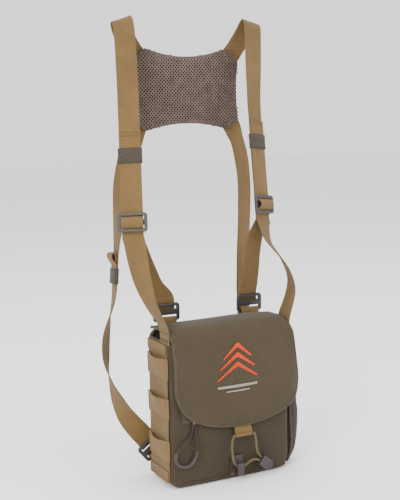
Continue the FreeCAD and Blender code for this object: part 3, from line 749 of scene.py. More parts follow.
# ----------------------------------------------------------------- the pack
@dataclass
class PackBody:
    """The sewn compartment: shell, back panel, dividers and foam."""

    half: float = 80.0
    front: float = -62.0
    low: float = -90.0
    top: float = 78.0
    round_edge: float = 8.0
    round_foot: float = 3.5
    corner_left: float = 6.0
    corner_right: float = 11.0
    hang: float = 4.2
    wall: float = 2.6
    back_corner: float = 14.0
    cut_step: float = 0.008

    def shell(self) -> bpy.types.Object:
        """The front, sides and bottom as one soft shell, open at its top."""
        low, high = mm(-self.half, self.front, self.low), mm(self.half, -5.0, self.top)
        piece = block("pack_shell", low, high)
        pick(piece, "EDGE", lambda a, b: abs(a.z - b.z) > 0.05 and (a.y + b.y) / 2 < -0.03)
        bpy.ops.mesh.bevel(offset=self.round_edge * MM, segments=5, affect="EDGES")
        object_mode()
        pick(piece, "EDGE", lambda a, b: max(a.z, b.z) < (self.low + 1) * MM)
        bpy.ops.mesh.bevel(offset=self.round_foot * MM, segments=3, affect="EDGES")
        for axis, low_end, high_end in ((0, low.x, high.x), (1, low.y, high.y), (2, low.z, high.z)):
            normal = [1.0 if index == axis else 0.0 for index in range(3)]
            cuts = max(3, int((high_end - low_end) / self.cut_step))
            for step in range(1, cuts):
                spot = [0.0, 0.0, 0.0]
                spot[axis] = low_end + (high_end - low_end) * step / cuts
                bpy.ops.mesh.select_all(action="SELECT")
                bpy.ops.mesh.bisect(plane_co=spot, plane_no=normal)
        object_mode()
        pick(piece, "FACE", lambda middle: middle.z > high.z - 1e-5)
        bpy.ops.mesh.delete(type="FACE")
        object_mode()
        self.puff(piece)
        solid = piece.modifiers.new("wall", "SOLIDIFY")
        solid.thickness = self.wall * MM
        solid.offset = -1.0
        apply_modifiers(piece)
        project_map(piece)
        nodes = ("front_panel", "left_side_panel", "right_side_panel", "bottom_panel")
        return finish_piece(piece, PACK_CLOTH, "pack", nodes, smooth=60)

    def puff(self, piece: bpy.types.Object) -> None:
        """Swell the walls softly, round the lower corners and let the bottom hang."""
        for vertex in piece.data.vertices:
            place = vertex.co / MM
            tall = (place.z - self.low) / (self.top - self.low)
            belly = math.sin(math.pi * min(max(tall, 0.0), 1.0)) ** 0.6
            wide = max(0.0, 1 - (place.x / self.half) ** 4)
            ripple = 0.5 * math.sin(place.x * 0.07 + place.z * 0.05) + 0.35 * math.sin(place.z * 0.11 + 1.3)
            if place.y < self.front + 12:
                vertex.co.y -= (0.75 * belly * wide + 0.25 * ripple * belly * wide) * MM
            if abs(place.x) > self.half - 1 and place.y < -10:
                deep = math.sin(math.pi * (place.y + 5) / (self.front + 5))
                inward = 1.6 if place.x < 0 else 0.8
                vertex.co.x -= math.copysign(1.0, place.x) * (inward + 0.5 * ripple) * belly * deep * MM
            corner = self.corner_right if place.x > 0 else self.corner_left
            past_x = max(0.0, abs(place.x) - (self.half - corner))
            past_z = max(0.0, (self.low + corner) - place.z)
            if past_x > 0 and past_z > 0:
                pull = max(past_x, past_z) / math.hypot(past_x, past_z)
                vertex.co.x = math.copysign(self.half - corner + past_x * pull, place.x) * MM
                vertex.co.z = (self.low + corner - past_z * pull) * MM
            forward = min(1.0, max(0.0, -place.y / 55))
            hang = min(1.0, max(0.0, (self.low + 26 - place.z) / 26))
            vertex.co.z -= self.hang * forward * hang * (1 - (place.x / self.half) ** 6 * 0.6) * MM

    def back_panel(self) -> bpy.types.Object:
        """The padded panel that lies on the chest, flat behind, with rounded upper corners."""
        low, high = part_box("back_panel")
        piece = block("back_panel_pad", Vector(low), Vector(high))
        piece.data.update()
        pick(piece, "EDGE", lambda a, b: abs(a.y - b.y) > 0.003 and (a.z + b.z) / 2 > 0)
        bpy.ops.mesh.bevel(offset=self.back_corner * MM, segments=8, affect="EDGES")
        object_mode()
        add_bevel(piece, 1.6, 4)
        apply_modifiers(piece)
        project_map(piece)
        return finish_piece(piece, PACK_CLOTH, "pack", ("back_panel",), smooth=50)

    def seams(self) -> None:
        """Bound top edge, piping at the back panel and rows of stitches."""
        edge = self.half - 0.9
        right = [(40, self.front + 0.7, self.top - 3), (edge - 7, self.front + 0.9, self.top - 1),
                 (edge - 1.5, -60, self.top), (edge, -54, self.top), (edge, -30, self.top), (edge, -5.6, self.top)]
        left = [(-x, y, z) for x, y, z in reversed(right)]
        line = spline([mm(*place) for place in left + right], 8)
        piece = tube("top_edge_binding", line, 2.0, 10)
        finish_piece(piece, BINDING_TAPE, "pack")
        side, level, roof = 79.4, -5.2, 87.4
        right = [(67, roof), (side - 3.6, 84.5), (side, 74), (side, 0), (side, -88.5)]
        outline = [(-x, z) for x, z in reversed(right)] + [(0, roof)] + right
        line = spline([mm(x, level, z) for x, z in outline], 10)
        piece = tube("back_panel_piping", line, 1.3, 8)
        finish_piece(piece, BINDING_TAPE, "pack")
        seam = [mm(-70, self.front - 1.0, -87.5), mm(60, self.front - 1.0, -87.5)]
        stitches("bottom_seam_stitches", seam, Vector((0, -1, 0)), DARK_THREAD, "pack")

    def inside(self) -> None:
        """The pocket wall and the two sheets of foam in the compartment."""
        for node, finish, slot in (("pocket_wall", LINING_AND_PAINTED_SHADOW, "pack_fabric"), ("front_foam", FOAM, "foam"),
                                   ("base_foam", FOAM, "foam")):
            low, high = (Vector(corner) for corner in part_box(node))
            piece = block(node + "_sheet", low, high)
            add_bevel(piece, 0.6, 3)
            apply_modifiers(piece)
            project_map(piece)
            finish_piece(piece, finish, "pack", (node,))

    def build(self) -> None:
        """Make every piece of the body."""
        for step in (self.shell, self.back_panel, self.seams, self.inside):
            step()
            LOG.info("pack body: %s", step.__name__)


@dataclass
class SideLadder:
    """The 50 mm webbing on the left side and the loops sewn across it."""

    face: float = -82.3
    front: float = -54.2
    width: float = 50.0
    loop_height: float = 25.0
    proud: float = 0.9
    loops: tuple = (("upper", 61.5, 5.2), ("middle", 14.0, 4.6), ("lower", -37.0, 5.0))

    def loop(self, name: str, high: float, bow: float) -> None:
        """One loop: sewn down at both edges, its upper edge standing open."""
        middle = high - self.loop_height / 2
        rows = ((-1.2, 0.6, 0.0), (1.4, 0.0, 0.0), (4.0, 0.1, 0.02), (9.0, 0.36, 0.12), (17.0, 0.68, 0.24),
                (27.0, 0.62, 0.22), (36.0, 0.42, 0.13), (44.0, 0.12, 0.04), (48.6, 0.0, 0.0), (50.6, 0.0, 0.0))
        stations = []
        for along, share, lean in rows:
            if along < 0:
                place = mm(self.face + 1.9, self.front + along, middle)
            else:
                place = mm(self.face - bow * share, self.front + along, middle)
            stations.append((place, Vector((-lean, 0, 1))))
        # The loops take the lighter webbing, which is painted light.
        webbing(f"ladder_loop_{name}_webbing", stations, (f"ladder_loop_{name}",), 6, self.loop_height, 1.4,
                finish=LOOP_PAINTED_LIGHT_WEBBING)
        for row, along in enumerate((2.6, 47.0)):
            line = [mm(self.face - self.proud, self.front + along, high - inset) for inset in (23, 2)]
            stitches(f"ladder_loop_{name}_tack_{row}", line, Vector((-1, 0, 0)), TAN_THREAD, "pack",
                     1.1, 1.7, 0.6)

    def fold(self, name: str, high: float, low: float) -> None:
        """A turned-over end of the base, sewn across."""
        middle = self.front + self.width / 2 + 0.2
        stations = [(mm(self.face + out, middle, z), Vector((0, -1, 0)))
                    for out, z in ((0.4, high), (-0.1, high - 1.5), (0.0, (high + low) / 2), (0.0, low))]
        webbing(f"ladder_{name}_webbing", stations, (f"ladder_loop_{name}",), 6, self.width - 0.4)
        line = [mm(self.face - self.proud, self.front + along, low + 2) for along in (3, self.width - 3)]
        stitches(f"ladder_{name}_tack", line, Vector((-1, 0, 0)), TAN_THREAD, "pack", 1.1, 1.7, 0.6)

    def build(self) -> None:
        """The flat base, its two turned ends and the loops."""
        middle = self.front + self.width / 2
        base = [(mm(self.face + 1.5, middle, z), Vector((0, -1, 0))) for z in (77.5, 30, -30, -87.5)]
        webbing("ladder_base_webbing", base, ("ladder_webbing",), 8, self.width, 1.4)
        self.fold("top", 77.8, 66.0)
        self.fold("hem", -74.0, -87.4)
        for name, high, bow in self.loops:
            self.loop(name, high, bow)
        LOG.info("side ladder")


@dataclass
class StashPocket:
    """The stretch pocket on the right side: a soft belly with a bound mouth."""

    low: float = -89.5
    top: float = -6.0
    front: float = -56.0
    back: float = -7.0
    belly: tuple = ((-89.5, 3.0), (-86, 9.0), (-82, 13.5), (-76, 17.5), (-66, 20.5), (-52, 22.5), (-30, 23.5),
                    (-6, 20.5))

    def reach(self, height: float) -> float:
        """How far the belly stands out from the side panel at a height."""
        return float(np.interp(height, *zip(*self.belly)))

    def ring(self, height: float, inset: float) -> list[Vector]:
        """The pocket's plan at one height, as a closed ring."""
        share = (height - self.low) / (self.top - self.low)
        reach, half = self.reach(height) - inset, (self.back - self.front) / 2 - inset
        middle = (self.front + self.back) / 2
        ring = [mm(79.2, middle + half, height), mm(79.2, middle - half, height)]
        for step in range(13):
            turn = math.pi * step / 12
            side = -math.copysign(abs(math.cos(turn)) ** 0.6, math.cos(turn)) * half
            out = abs(math.sin(turn)) ** 0.7 * reach
            wrinkle = 0.35 * math.sin(height * 0.35 + step) * math.sin(turn)
            ring.append(mm(79.8 + out + wrinkle, middle + side, height - 2.5 * share * math.sin(turn)))
        return ring

    def build(self) -> None:
        """The belly, hollow from its mouth, its binding, and a dark strip of painted shadow in the crevice in front.
        """
        tall, floor, cloth = self.top - self.low, 6, 1.2
        outside = [self.ring(self.low + tall * step / 16, 0.0) for step in range(17)]
        inside = [self.ring(self.top - (tall - floor) * step / 8, cloth) for step in range(9)]
        piece = sweep("stash_pocket_knit", outside + inside)
        finish_piece(piece, STRETCH_KNIT, "pack", ("stash_pocket",), smooth=60)
        line = spline(self.ring(self.top, 0.6)[1:], 4)
        piece = tube("stash_pocket_mouth_binding", line, 1.6, 8)
        finish_piece(piece, BINDING_TAPE, "pack")
        edge = [mm(82.2, -57.2, -5), mm(83.0, -57.8, -24), mm(84.4, -58.0, -44), mm(85.4, -57.8, -62),
                mm(84.6, -57.0, -76), mm(80.6, -56.6, -87)]
        line = spline(edge, 8)
        piece = tube("stash_pocket_front_binding", line, 1.5, 8)
        finish_piece(piece, BINDING_TAPE, "pack")
        # A dark strip in the crevice beside the front binding: painted shadow, in the lining colour.
        rings = [[place + mm(across, out, 0) for across, out in ((0.4, 0.6), (-5.6, 1.6), (-5.6, 2.8), (0.4, 1.8))]
                 for place in line]
        piece = sweep("stash_pocket_painted_shadow_strip", rings)
        finish_piece(piece, LINING_AND_PAINTED_SHADOW, "pack")
        LOG.info("stash pocket")


# ------------------------------------------------------------------ the lid
@dataclass
class Lid:
    """The padded lid with its bound edge, emblem and closure tab."""

    half: float = 77.5
    hinge_y: float = -6.0
    hinge_z: float = 90.0
    front: float = -68.0
    crown: float = 95.0
    drop: float = -28.0
    bend: float = 21.0
    thick: float = 2.8
    side_end: float = 26.0
    side_rows: tuple = ((26, 77.5, 91), (40, 77.5, 90), (58, 78, 86.5), (72, 79, 82.5), (88, 79.5, 80), (97, 79.5, 80))
    hem_rows: tuple = (
        (-80, 34), (-77, 20), (-74, 9), (-68, -2), (-58, -11.5), (-46, -18), (-32, -22.8), (-16, -26), (2, -27.8),
        (18, -28), (36, -26.4), (54, -22.5), (70, -16), (81, -9), (87.5, 0), (90.6, 12), (91.5, 24), (92, 34))

    def profile(self) -> list[Vector]:
        """The middle line of the lid in the plane of Y and Z, from hinge to hem."""
        corner = self.crown - self.bend
        rows = [(self.hinge_y, self.hinge_z), (-15, 93.2), (-28, 95.2), (-40, 95.6)]
        rows += [(self.front + self.bend * (1 - math.sin(turn)), corner + self.bend * math.cos(turn))
                 for turn in (math.radians(angle) for angle in (12, 30, 48, 66, 82))]
        rows += [(self.front, height) for height in (68, 56, 44, 32, 20, 8, -4, -16, self.drop)]
        return [mm(0, y, z) for y, z in rows]

    def hem(self, across: float) -> float:
        """The height of the lower edge at a place across the lid."""
        edge = spline([mm(x, 0, z) for x, z in self.hem_rows], 6)
        return float(np.interp(across, [place.x / MM for place in edge], [place.z / MM for place in edge]))

    def surface(self, share: float, place: Vector) -> Vector:
        """A point of the middle surface: swell, side flare and a lower hem."""
        down = min(1.0, max(0.0, (self.crown * MM - place.z) / ((self.crown - self.drop) * MM)))
        knee, z = self.crown - self.bend, place.z / MM
        side = z if z > knee else knee - (knee - z) * (knee - self.side_end) / (knee - self.drop)
        heights, lefts, rights = zip(*self.side_rows)
        reach = np.interp(side, heights, rights if share > 0 else lefts)
        across = float(share * reach)
        low = self.hem(across)
        if z < knee:
            z = knee - (knee - z) * (knee - low) / (knee - self.drop)
        edge = 1 - abs(share) ** 4
        soft = math.sin(across * 0.045 + 0.6) * 0.35 + math.sin(z * 0.06 + across * 0.02) * 0.3
        y = place.y / MM - (0.9 * edge * math.sin(math.pi * min(1, down * 1.1)) + soft * 0.5 * edge) * min(1, down * 4)
        y += 5.0 * max(0.0, (abs(across) - self.half) / 13) ** 2 * min(1.0, down * 3)
        rear = min(1.0, max(0.0, (self.hinge_y - y) / 20))
        crest = (1.6 * edge + 0.4 * math.sin(across * 0.05)) * max(0.0, 1 - down * 5) * rear
        droop = 3.2 * max(0.0, (abs(share) - 0.72) / 0.28) ** 2 * max(0.0, 1 - down * 4) * rear
        return mm(across, y, z + crest - droop)

    def grid(self) -> list[list[Vector]]:
        """Rows of middle-surface points from hinge to hem."""
        line = spline(self.profile(), 4)
        shares = [math.sin(math.pi / 2 * (step / 26 - 1)) for step in range(53)]
        return [[self.surface(share, place) for share in shares] for place in line]

    def panel(self) -> list[list[Vector]]:
        """The lid itself, as a grid given its thickness.

        Returns:
            The rows of its middle surface, which the binding follows.
        """
        rows = self.grid()
        deselect()
        bpy.ops.mesh.primitive_grid_add(x_subdivisions=len(rows[0]) - 1, y_subdivisions=len(rows) - 1, size=1.0)
        piece = bpy.context.object
        piece.name = "lid_pad"
        mesh = piece.data
        mesh.vertices.foreach_set("co", [value for row in rows for point in row for value in point])
        columns = len(rows[0])
        fall = [0.0]
        for a, b in zip(rows, rows[1:]):
            fall.append(fall[-1] + (b[columns // 2] - a[columns // 2]).length)
        layer = mesh.uv_layers.active.data
        for corner in mesh.loops:
            row, column = divmod(corner.vertex_index, columns)
            layer[corner.index].uv = (rows[row][column].x, fall[row])
        mesh.update()
        front_face = max(mesh.polygons, key=lambda face: -face.center.y)
        if front_face.normal.y > 0:
            edit_mode()
            bpy.ops.mesh.select_all(action="SELECT")
            bpy.ops.mesh.flip_normals()
            object_mode()
        solid = piece.modifiers.new("pad", "SOLIDIFY")
        solid.thickness = self.thick * MM
        solid.offset = 0.0
        add_bevel(piece, 0.9, 3, 50)
        apply_modifiers(piece)
        finish_piece(piece, LID_CLOTH, "lid", ("lid_panel",), smooth=60)
        return rows

    def edge_rows(self, rows: list[list[Vector]]) -> tuple[list[Vector], list[Vector]]:
        """The lid's free edge, down one side, along the hem and up the other.

        Returns:
            The edge's points and, for each, the point next to it in the lid.
        """
        edge = [row[0] for row in rows[1:-1]] + rows[-1] + [row[-1] for row in rows[-2:0:-1]]
        inner = [row[1] for row in rows[1:-1]] + [rows[-2][1]] + rows[-2][1:-1] + [rows[-2][-2]]
        return edge, inner + [row[-2] for row in rows[-2:0:-1]]

    def binding(self, rows: list[list[Vector]]) -> None:
        """A tape folded over the free edge and the stitches through it."""
        line, inner = self.edge_rows(rows)
        rings, seam = [], []
        for place, way, beside in zip(line, directions(line), inner):
            inward = beside - place
            inward = (inward - way * inward.dot(way)).normalized()
            out = way.cross(inward)
            out = out if out.dot(Vector((0, -1, 0.6))) > 0 else -out
            rings.append([place + inward * across * MM + out * rise * MM for across, rise in
                          ((-0.9, 0.0), (-0.6, 1.2), (0.4, 1.8), (2.7, 1.7), (3.2, 1.1), (3.2, -1.1), (2.7, -1.7),
                           (0.4, -1.8), (-0.6, -1.2))])
            seam.append(place + inward * 2.2 * MM + out * 1.8 * MM)
        piece = sweep("lid_binding_tape", rings)
        finish_piece(piece, BINDING_TAPE, "lid")
        stitches("lid_binding_stitches", seam[2:-2], Vector((0, -1, 0.5)), DARK_THREAD, "lid",
                 2.8, 2.0, 0.35)

    def emblem(self) -> None:
        """Three stacked peaks of embroidery over two pale bars."""
        swell, peak = 1.35, (1.8, 6.4, 2.4)
        face = self.front - self.thick / 2 - swell
        strokes = (
            ("top_peak", [(-16, 56), (1, 70.5), (3, 71.5), (5, 70.5), (21, 57)], peak, ORANGE_THREAD),
            ("middle_peak", [(-20.5, 43.5), (1, 59), (3, 60), (5, 59), (25.5, 44.5)], peak, ORANGE_THREAD),
            ("low_peak", [(-24, 31), (1, 47.5), (3, 48.5), (5, 47.5), (29, 32)], peak, ORANGE_THREAD),
            ("bar", [(-24, 22.5), (3, 21.8), (29, 22.5)], (2.8, 3.6, 2.8), PALE_THREAD),
            ("short_bar", [(-13, 16.6), (3, 16.2), (19, 16.6)], (1.5, 1.9, 1.5), PALE_THREAD),
        )
        nodes = ("lid_emblem",)
        for name, rows, widths, finish in strokes:
            line = spline([mm(x, face, z) for x, z in rows], 8)
            breadths = np.interp(np.linspace(0, 1, len(line)), np.linspace(0, 1, 3), widths)
            rings = []
            for place, way, breadth in zip(line, directions(line), breadths):
                across = Vector((0, -1, 0)).cross(way).normalized()
                rings.append([place + across * a * breadth * MM + Vector((0, -o * MM, 0)) for a, o in
                              ((0.5, 0.0), (0.42, 0.45), (0.0, 0.75), (-0.42, 0.45), (-0.5, 0.0), (0.0, -0.3))])
            piece = sweep(f"emblem_{name}", rings)
            finish_piece(piece, finish, "lid", nodes, smooth=80)
            nodes = ()

    def tab(self) -> None:
        """The closure tab, bar-tacked under the hem, and its folded end."""
        middle, tack = 10.5, -71.6
        rows = [(-65.3, -17), (-65.4, -23), (-66.4, -28.5), (-68.4, -32), (-70.0, -35), (-70.7, -38.4), (-70.4, -40.4)]
        stations = [(mm(middle, y, z), Vector((1, 0, 0))) for y, z in rows]
        webbing("closure_tab_webbing", stations, ("closure_tab",), 5, 23, 2.4, body="lid")
        line = [mm(x, tack, -35.6) for x in (1, 20)]
        stitches("closure_tab_tack", line, Vector((0, -1, 0.5)), TAN_THREAD, "lid", 1.1, 1.5, 0.6)

    def build(self) -> None:
        """Make the lid and what is sewn to it."""
        rows = self.panel()
        self.binding(rows)
        self.emblem()
        self.tab()
        LOG.info("lid")


# ------------------------------------------------------- cords and closures
def cord_curve(name: str, route: Rows, diameter: float) -> bpy.types.Object:
    """A round cord on a NURBS line led by its route, in millimetres."""
    deselect()
    bpy.ops.curve.primitive_nurbs_path_add()
    piece = bpy.context.object
    piece.name = name
    data = piece.data
    data.splines.clear()
    line = data.splines.new("NURBS")
    line.points.add(len(route) - 1)
    for point, row in zip(line.points, route):
        point.co = (*mm(*row), 1.0)
    line.order_u = 3
    line.use_endpoint_u = True
    line.resolution_u = 8
    data.dimensions = "3D"
    data.bevel_depth = diameter / 2 * MM
    data.bevel_resolution = 4
    data.use_fill_caps = True
    return piece


def line_of(cord: bpy.types.Object) -> list[Vector]:
    """The points down the middle of a cord's curve."""
    bare = bpy.data.objects.new("bare_line", cord.data.copy())
    bare.data.bevel_depth = 0.0
    mesh = bpy.data.meshes.new_from_object(bare)
    points = [vertex.co.copy() for vertex in mesh.vertices]
    bpy.data.objects.remove(bare)
    bpy.data.meshes.remove(mesh)
    return points


@dataclass
class ZipClosure:
    """The front pocket's zip with its pull."""

    level: float = -9.0
    half: float = 63.0
    face: float = -62.9
    pull_diameter: float = 2.4
    sleeve_radius: float = 1.9
    sleeve_span: tuple = (0.33, 0.74)
    pull_route: tuple = (
        (-54.4, -64.6, -17.6), (-54.8, -64.6, -24), (-57.5, -64.8, -30.5), (-63, -67.2, -36),
        (-71.5, -68.6, -40.5), (-77.5, -68, -47.5), (-79, -66.8, -56), (-75, -66.5, -63.5),
        (-66.5, -66.5, -67.5), (-57.5, -66.5, -65), (-52, -66.8, -57), (-50.4, -67.2, -47.5),
        (-50.6, -67, -38), (-51.2, -64.8, -30), (-51.6, -64.6, -24), (-51.6, -64.6, -17.6))

    def tape(self) -> None:
        """The woven tape and the coil's teeth."""
        end = self.half + 4.5
        stations = [(mm(x, self.face - 0.2, self.level), Vector((0, 0, 1))) for x in (-end, -20, 20, end)]
        piece = strap("zip_tape_weave", stations, 8, 14, 0.8)
        finish_piece(piece, BINDING_TAPE, "pack", ("zip_tape",))
        deselect()
        bpy.ops.mesh.primitive_torus_add(major_segments=10, minor_segments=5, major_radius=1.0, minor_radius=0.34)
        seed = bpy.context.object
        seed.scale = (0.55 * MM, 1.7 * MM, 0.9 * MM)
        bpy.ops.object.transform_apply(location=False, rotation=False, scale=True)
        pitch, places = 1.3, []
        for step in range(int(2 * self.half / pitch)):
            spot = mm(-self.half + 1 + pitch * step, self.face - 1.2, self.level + (0.75 if step % 2 else -0.75))
            places.append(frame_of(spot, Vector((1, 0, 0)), Vector((0, -1, 0))))
        piece = copies("zip_coil_teeth", seed, places)
        finish_piece(piece, ZIP_NYLON, "pack", ("zip_coil",))

    def pull(self) -> None:
        """The cord loop and the soft sleeve round its lower half."""
        cord = cord_curve("zip_pull_cord", self.pull_route, self.pull_diameter)
        line = line_of(cord)
        finish_piece(cord, PULL_CORD, "zip_slider", ("pull_cord",))
        start, end = (int(len(line) * share) for share in self.sleeve_span)
        stretch = line[start:end]
        radii = [self.sleeve_radius] * len(stretch)
        radii[0] = radii[-1] = self.sleeve_radius - 0.5
        sleeve = sweep("zip_pull_sleeve", circle_rings(stretch, radii, 14))
        finish_piece(sleeve, PULL_SLEEVE, "zip_slider", ("pull_tube",), smooth=50)

    def build(self) -> None:
        """Make the zip."""
        self.tape()
        dress_node("zip_slider", SLIDER_METAL, 0.35)
        self.pull()
        LOG.info("front zip")


@dataclass
class Closure:
    """The elastic loop that holds the lid down, its cord lock and its hook."""

    diameter: float = 3.0
    lock_middle: tuple = (38, -71.5, -77.5)
    lock_slant: float = 40.0
    coil_behind: float = 4.1
    coil_length: float = 4.2
    coil_radius: float = 1.6
    coil_turns: int = 3
    wire: float = 0.24
    loop_route: tuple = (
        (-1.6, -71.2, -37.6), (-3.8, -71.5, -38.6), (-5.9, -71.5, -43), (-6.9, -71.5, -50.3),
        (-6.5, -71.5, -57.8), (-5.6, -71.5, -65.5), (-3.6, -71.5, -72.5), (1.8, -71.5, -77.4),
        (8.6, -71.5, -78.2), (14.5, -71.5, -74.8), (20.5, -71.5, -71.8), (26.2, -71.5, -71.6),
        (30.7, -71.5, -74.2))
    return_route: tuple = (
        (23.1, -71.2, -37.6), (24.7, -71.5, -39.6), (26, -71.5, -45.5), (26.8, -71.5, -53),
        (27.4, -71.5, -59.5), (29.3, -71.5, -65.5), (33.4, -71.5, -70.4))

    def build(self) -> None:
        """Make the cords, then dress the moulded pieces."""
        for name, node, route, pieces in (("closure_elastic", "closure_cord", self.loop_route, ["cord_lock_body"]),
                                          ("closure_elastic_return", "closure_cord_return", self.return_route, [])):
            cord = cord_curve(name, route, self.diameter)
            line = line_of(cord)
            finish_piece(cord, SHOCK_CORD, "lid", (node,))
        dress_node("cord_lock_body", LOCK_PLASTIC, 1.1)
        dress_node("cord_lock_button", LOCK_PLASTIC, 0.5)
        self.spring()
        dress_node("closure_hook", HOOK_PLASTIC, 0.7)
        anchor = [(mm(4, -62.9, z), Vector((1, 0, 0))) for z in (-72.5, -78, -84, -89.5)]
        webbing("hook_anchor_webbing", anchor, ("hook_anchor",), 4, 15.5, 1.4)
        LOG.info("closure")

    def spring(self) -> None:
        """The coil behind the button, made at one fixed length, though the real one shortens as the button goes in."""
        slant = math.radians(self.lock_slant)
        press = Vector((math.cos(slant), 0, -math.sin(slant)))
        start = mm(*self.lock_middle) + press * (-self.coil_behind * MM)
        side, out = Vector((press.z, 0, -press.x)), Vector((0, 1, 0))
        steps, line = self.coil_turns * 18, []
        for step in range(steps + 1):
            turn = TURN * step / 18
            line.append(start + press * (self.coil_length * step / steps * MM)
                        + (side * math.cos(turn) + out * math.sin(turn)) * self.coil_radius * MM)
        piece = tube("cord_lock_coil", line, self.wire, 6)
        finish_piece(piece, SLIDER_METAL, "lid", ("cord_lock_spring",))
        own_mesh(piece)


# ------------------------------------------------------------- the back pad
@dataclass
class BackPad:
    """The spacer-mesh pad between the shoulder blades."""

    half: float = 73.0
    low: float = 321.0
    high: float = 419.0
    front: float = 43.5
    cell: float = 3.1
    cut_x: float = 18.0
    cut_up: float = 17.0
    cut_down: float = 11.0
    arch: float = 10.0
    sag: float = 8.0
    waist: float = 3.0
    middle: float = 370.0

    def outline(self) -> list[tuple[float, float]]:
        """The pad's edge: bowed-in sides between four cut corners."""
        inner, top, bottom = self.half - self.cut_x, self.high - self.cut_up, self.low + self.cut_down
        edge = []
        for step in range(17):
            share = -1 + step / 8
            edge.append((inner * share, self.high - self.arch * (1 - share * share)))
        edge.append((self.half, top))
        for step in range(1, 12):
            share = -1 + step / 6
            edge.append((self.half - self.waist * (1 - share * share), top + (bottom - top) * (share + 1) / 2))
        edge.append((self.half, bottom))
        for step in range(17):
            share = 1 - step / 8
            edge.append((inner * share, self.low + self.sag * (1 - share * share)))
        return edge + [(-x, z) for x, z in reversed(edge[17:30])]

    def inside(self, x: float, z: float, margin: float) -> bool:
        """Whether a place lies within the outline by a margin."""
        inner, top, bottom = self.half - self.cut_x, self.high - self.cut_up, self.low + self.cut_down
        share = min(1.0, abs(x) / inner)
        roof = self.high - self.arch * (1 - share * share)
        floor = self.low + self.sag * (1 - share * share)
        if abs(x) > inner:
            over = (abs(x) - inner) / self.cut_x
            roof = self.high - over * self.cut_up
            floor = self.low + over * self.cut_down
        tall = (z - (top + bottom) / 2) / ((top - bottom) / 2)
        side = self.half - self.waist * (1 - min(1.0, tall * tall))
        return abs(x) < side - margin and floor + margin < z < roof - margin

    def dish(self, x: float, z: float) -> float:
        """How far the pad's middle stands forward of its edge, in millimetres."""
        across, up = x / self.half, (z - (self.low + self.high) / 2) / 50
        return -1.2 * max(0.0, 1 - across * across) * max(0.0, 1 - up * up)

    def lattice(self, name: str, depth: float, thread: float, forward: bool) -> bpy.types.Object:
        """One knitted face of diamond holes."""
        deselect()
        span = 0.2
        count = int(span / (self.cell * MM))
        middle = mm(0, depth, (self.low + self.high) / 2)
        bpy.ops.mesh.primitive_grid_add(x_subdivisions=count, y_subdivisions=count, size=span, location=middle,
                                        rotation=(math.pi / 2, math.pi / 4, 0))
        piece = bpy.context.object
        piece.name = name
        bpy.ops.object.transform_apply(location=True, rotation=True, scale=True)
        pick(piece, "FACE", lambda middle: not self.inside(middle.x / MM, middle.z / MM, 0.4))
        bpy.ops.mesh.delete(type="FACE")
        bpy.ops.mesh.select_all(action="SELECT")
        relief = -0.35 if forward else 0.35
        bpy.ops.mesh.inset(thickness=thread * MM, depth=relief * MM, use_individual=True)
        bpy.ops.mesh.delete(type="FACE")
        object_mode()
        for vertex in piece.data.vertices:
            vertex.co.y += self.dish(vertex.co.x / MM, vertex.co.z / MM) * MM
            vertex.co.x += 0.22 * MM * math.sin(vertex.co.z / MM * 2.1)
        solid = piece.modifiers.new("thread", "SOLIDIFY")
        solid.thickness = 0.7 * MM
        solid.offset = 0.0
        apply_modifiers(piece)
        return piece

    def slab(self, name: str, front: float, rear: float, finish: Finish, nodes: tuple) -> bpy.types.Object:
        """A solid sheet of the pad's outline."""
        rings = []
        for depth, shrink in ((front, 0.97), (front, 0.99), (rear, 0.99), (rear, 0.97)):
            rings.append([mm(x * shrink, depth + self.dish(x, z) * 0.5, self.middle + (z - self.middle) * shrink)
                          for x, z in self.outline()])
        piece = sweep(name, rings)
        return finish_piece(piece, finish, "pack", nodes, smooth=30)

    def build(self) -> None:
        """The open face, a near-black sheet of painted shade in place of the spacer core, the backing and the rolled
        edge.
        """
        face = self.lattice("spacer_mesh_face", self.front + 0.6, 0.62, True)
        finish_piece(face, MESH_THREAD, "pack", ("mesh_panel",), smooth=60)
        rear = self.lattice("spacer_mesh_rear", self.front + 4.6, 0.62, False)
        finish_piece(rear, MESH_THREAD, "pack", ("mesh_backing",), smooth=60)
        # A near-black solid sheet between the two faces: painted shade that darkens the holes of the mesh.
        self.slab("spacer_mesh_painted_shade_sheet", self.front + 2.0, self.front + 3.4, MESH_PAINTED_SHADE, ())
        self.binding()
        LOG.info("back pad")

    def binding(self) -> None:
        """The rolled tape round the pad's edge."""
        level, shrink, depth = self.front + 2.5, 0.985, Vector((0, 1, 0))
        edge = [mm(x * shrink, level, self.middle + (z - self.middle) * shrink) for x, z in self.outline()]
        line = edge + [edge[0], edge[1]]
        rings = []
        for place, way in zip(line, directions(line)):
            inward = mm(0, level, self.middle) - place
            inward = (inward - way * inward.dot(way)).normalized()
            rings.append([place + inward * a * MM + depth * o * MM for a, o in
                          ((-1.2, 0), (-0.8, 1.6), (0.5, 2.3), (2.4, 2.2), (3.0, 0), (2.4, -2.2), (0.5, -2.3),
                           (-0.8, -1.6))])
        piece = sweep("mesh_pad_binding", rings)
        finish_piece(piece, MESH_EDGE, "pack")


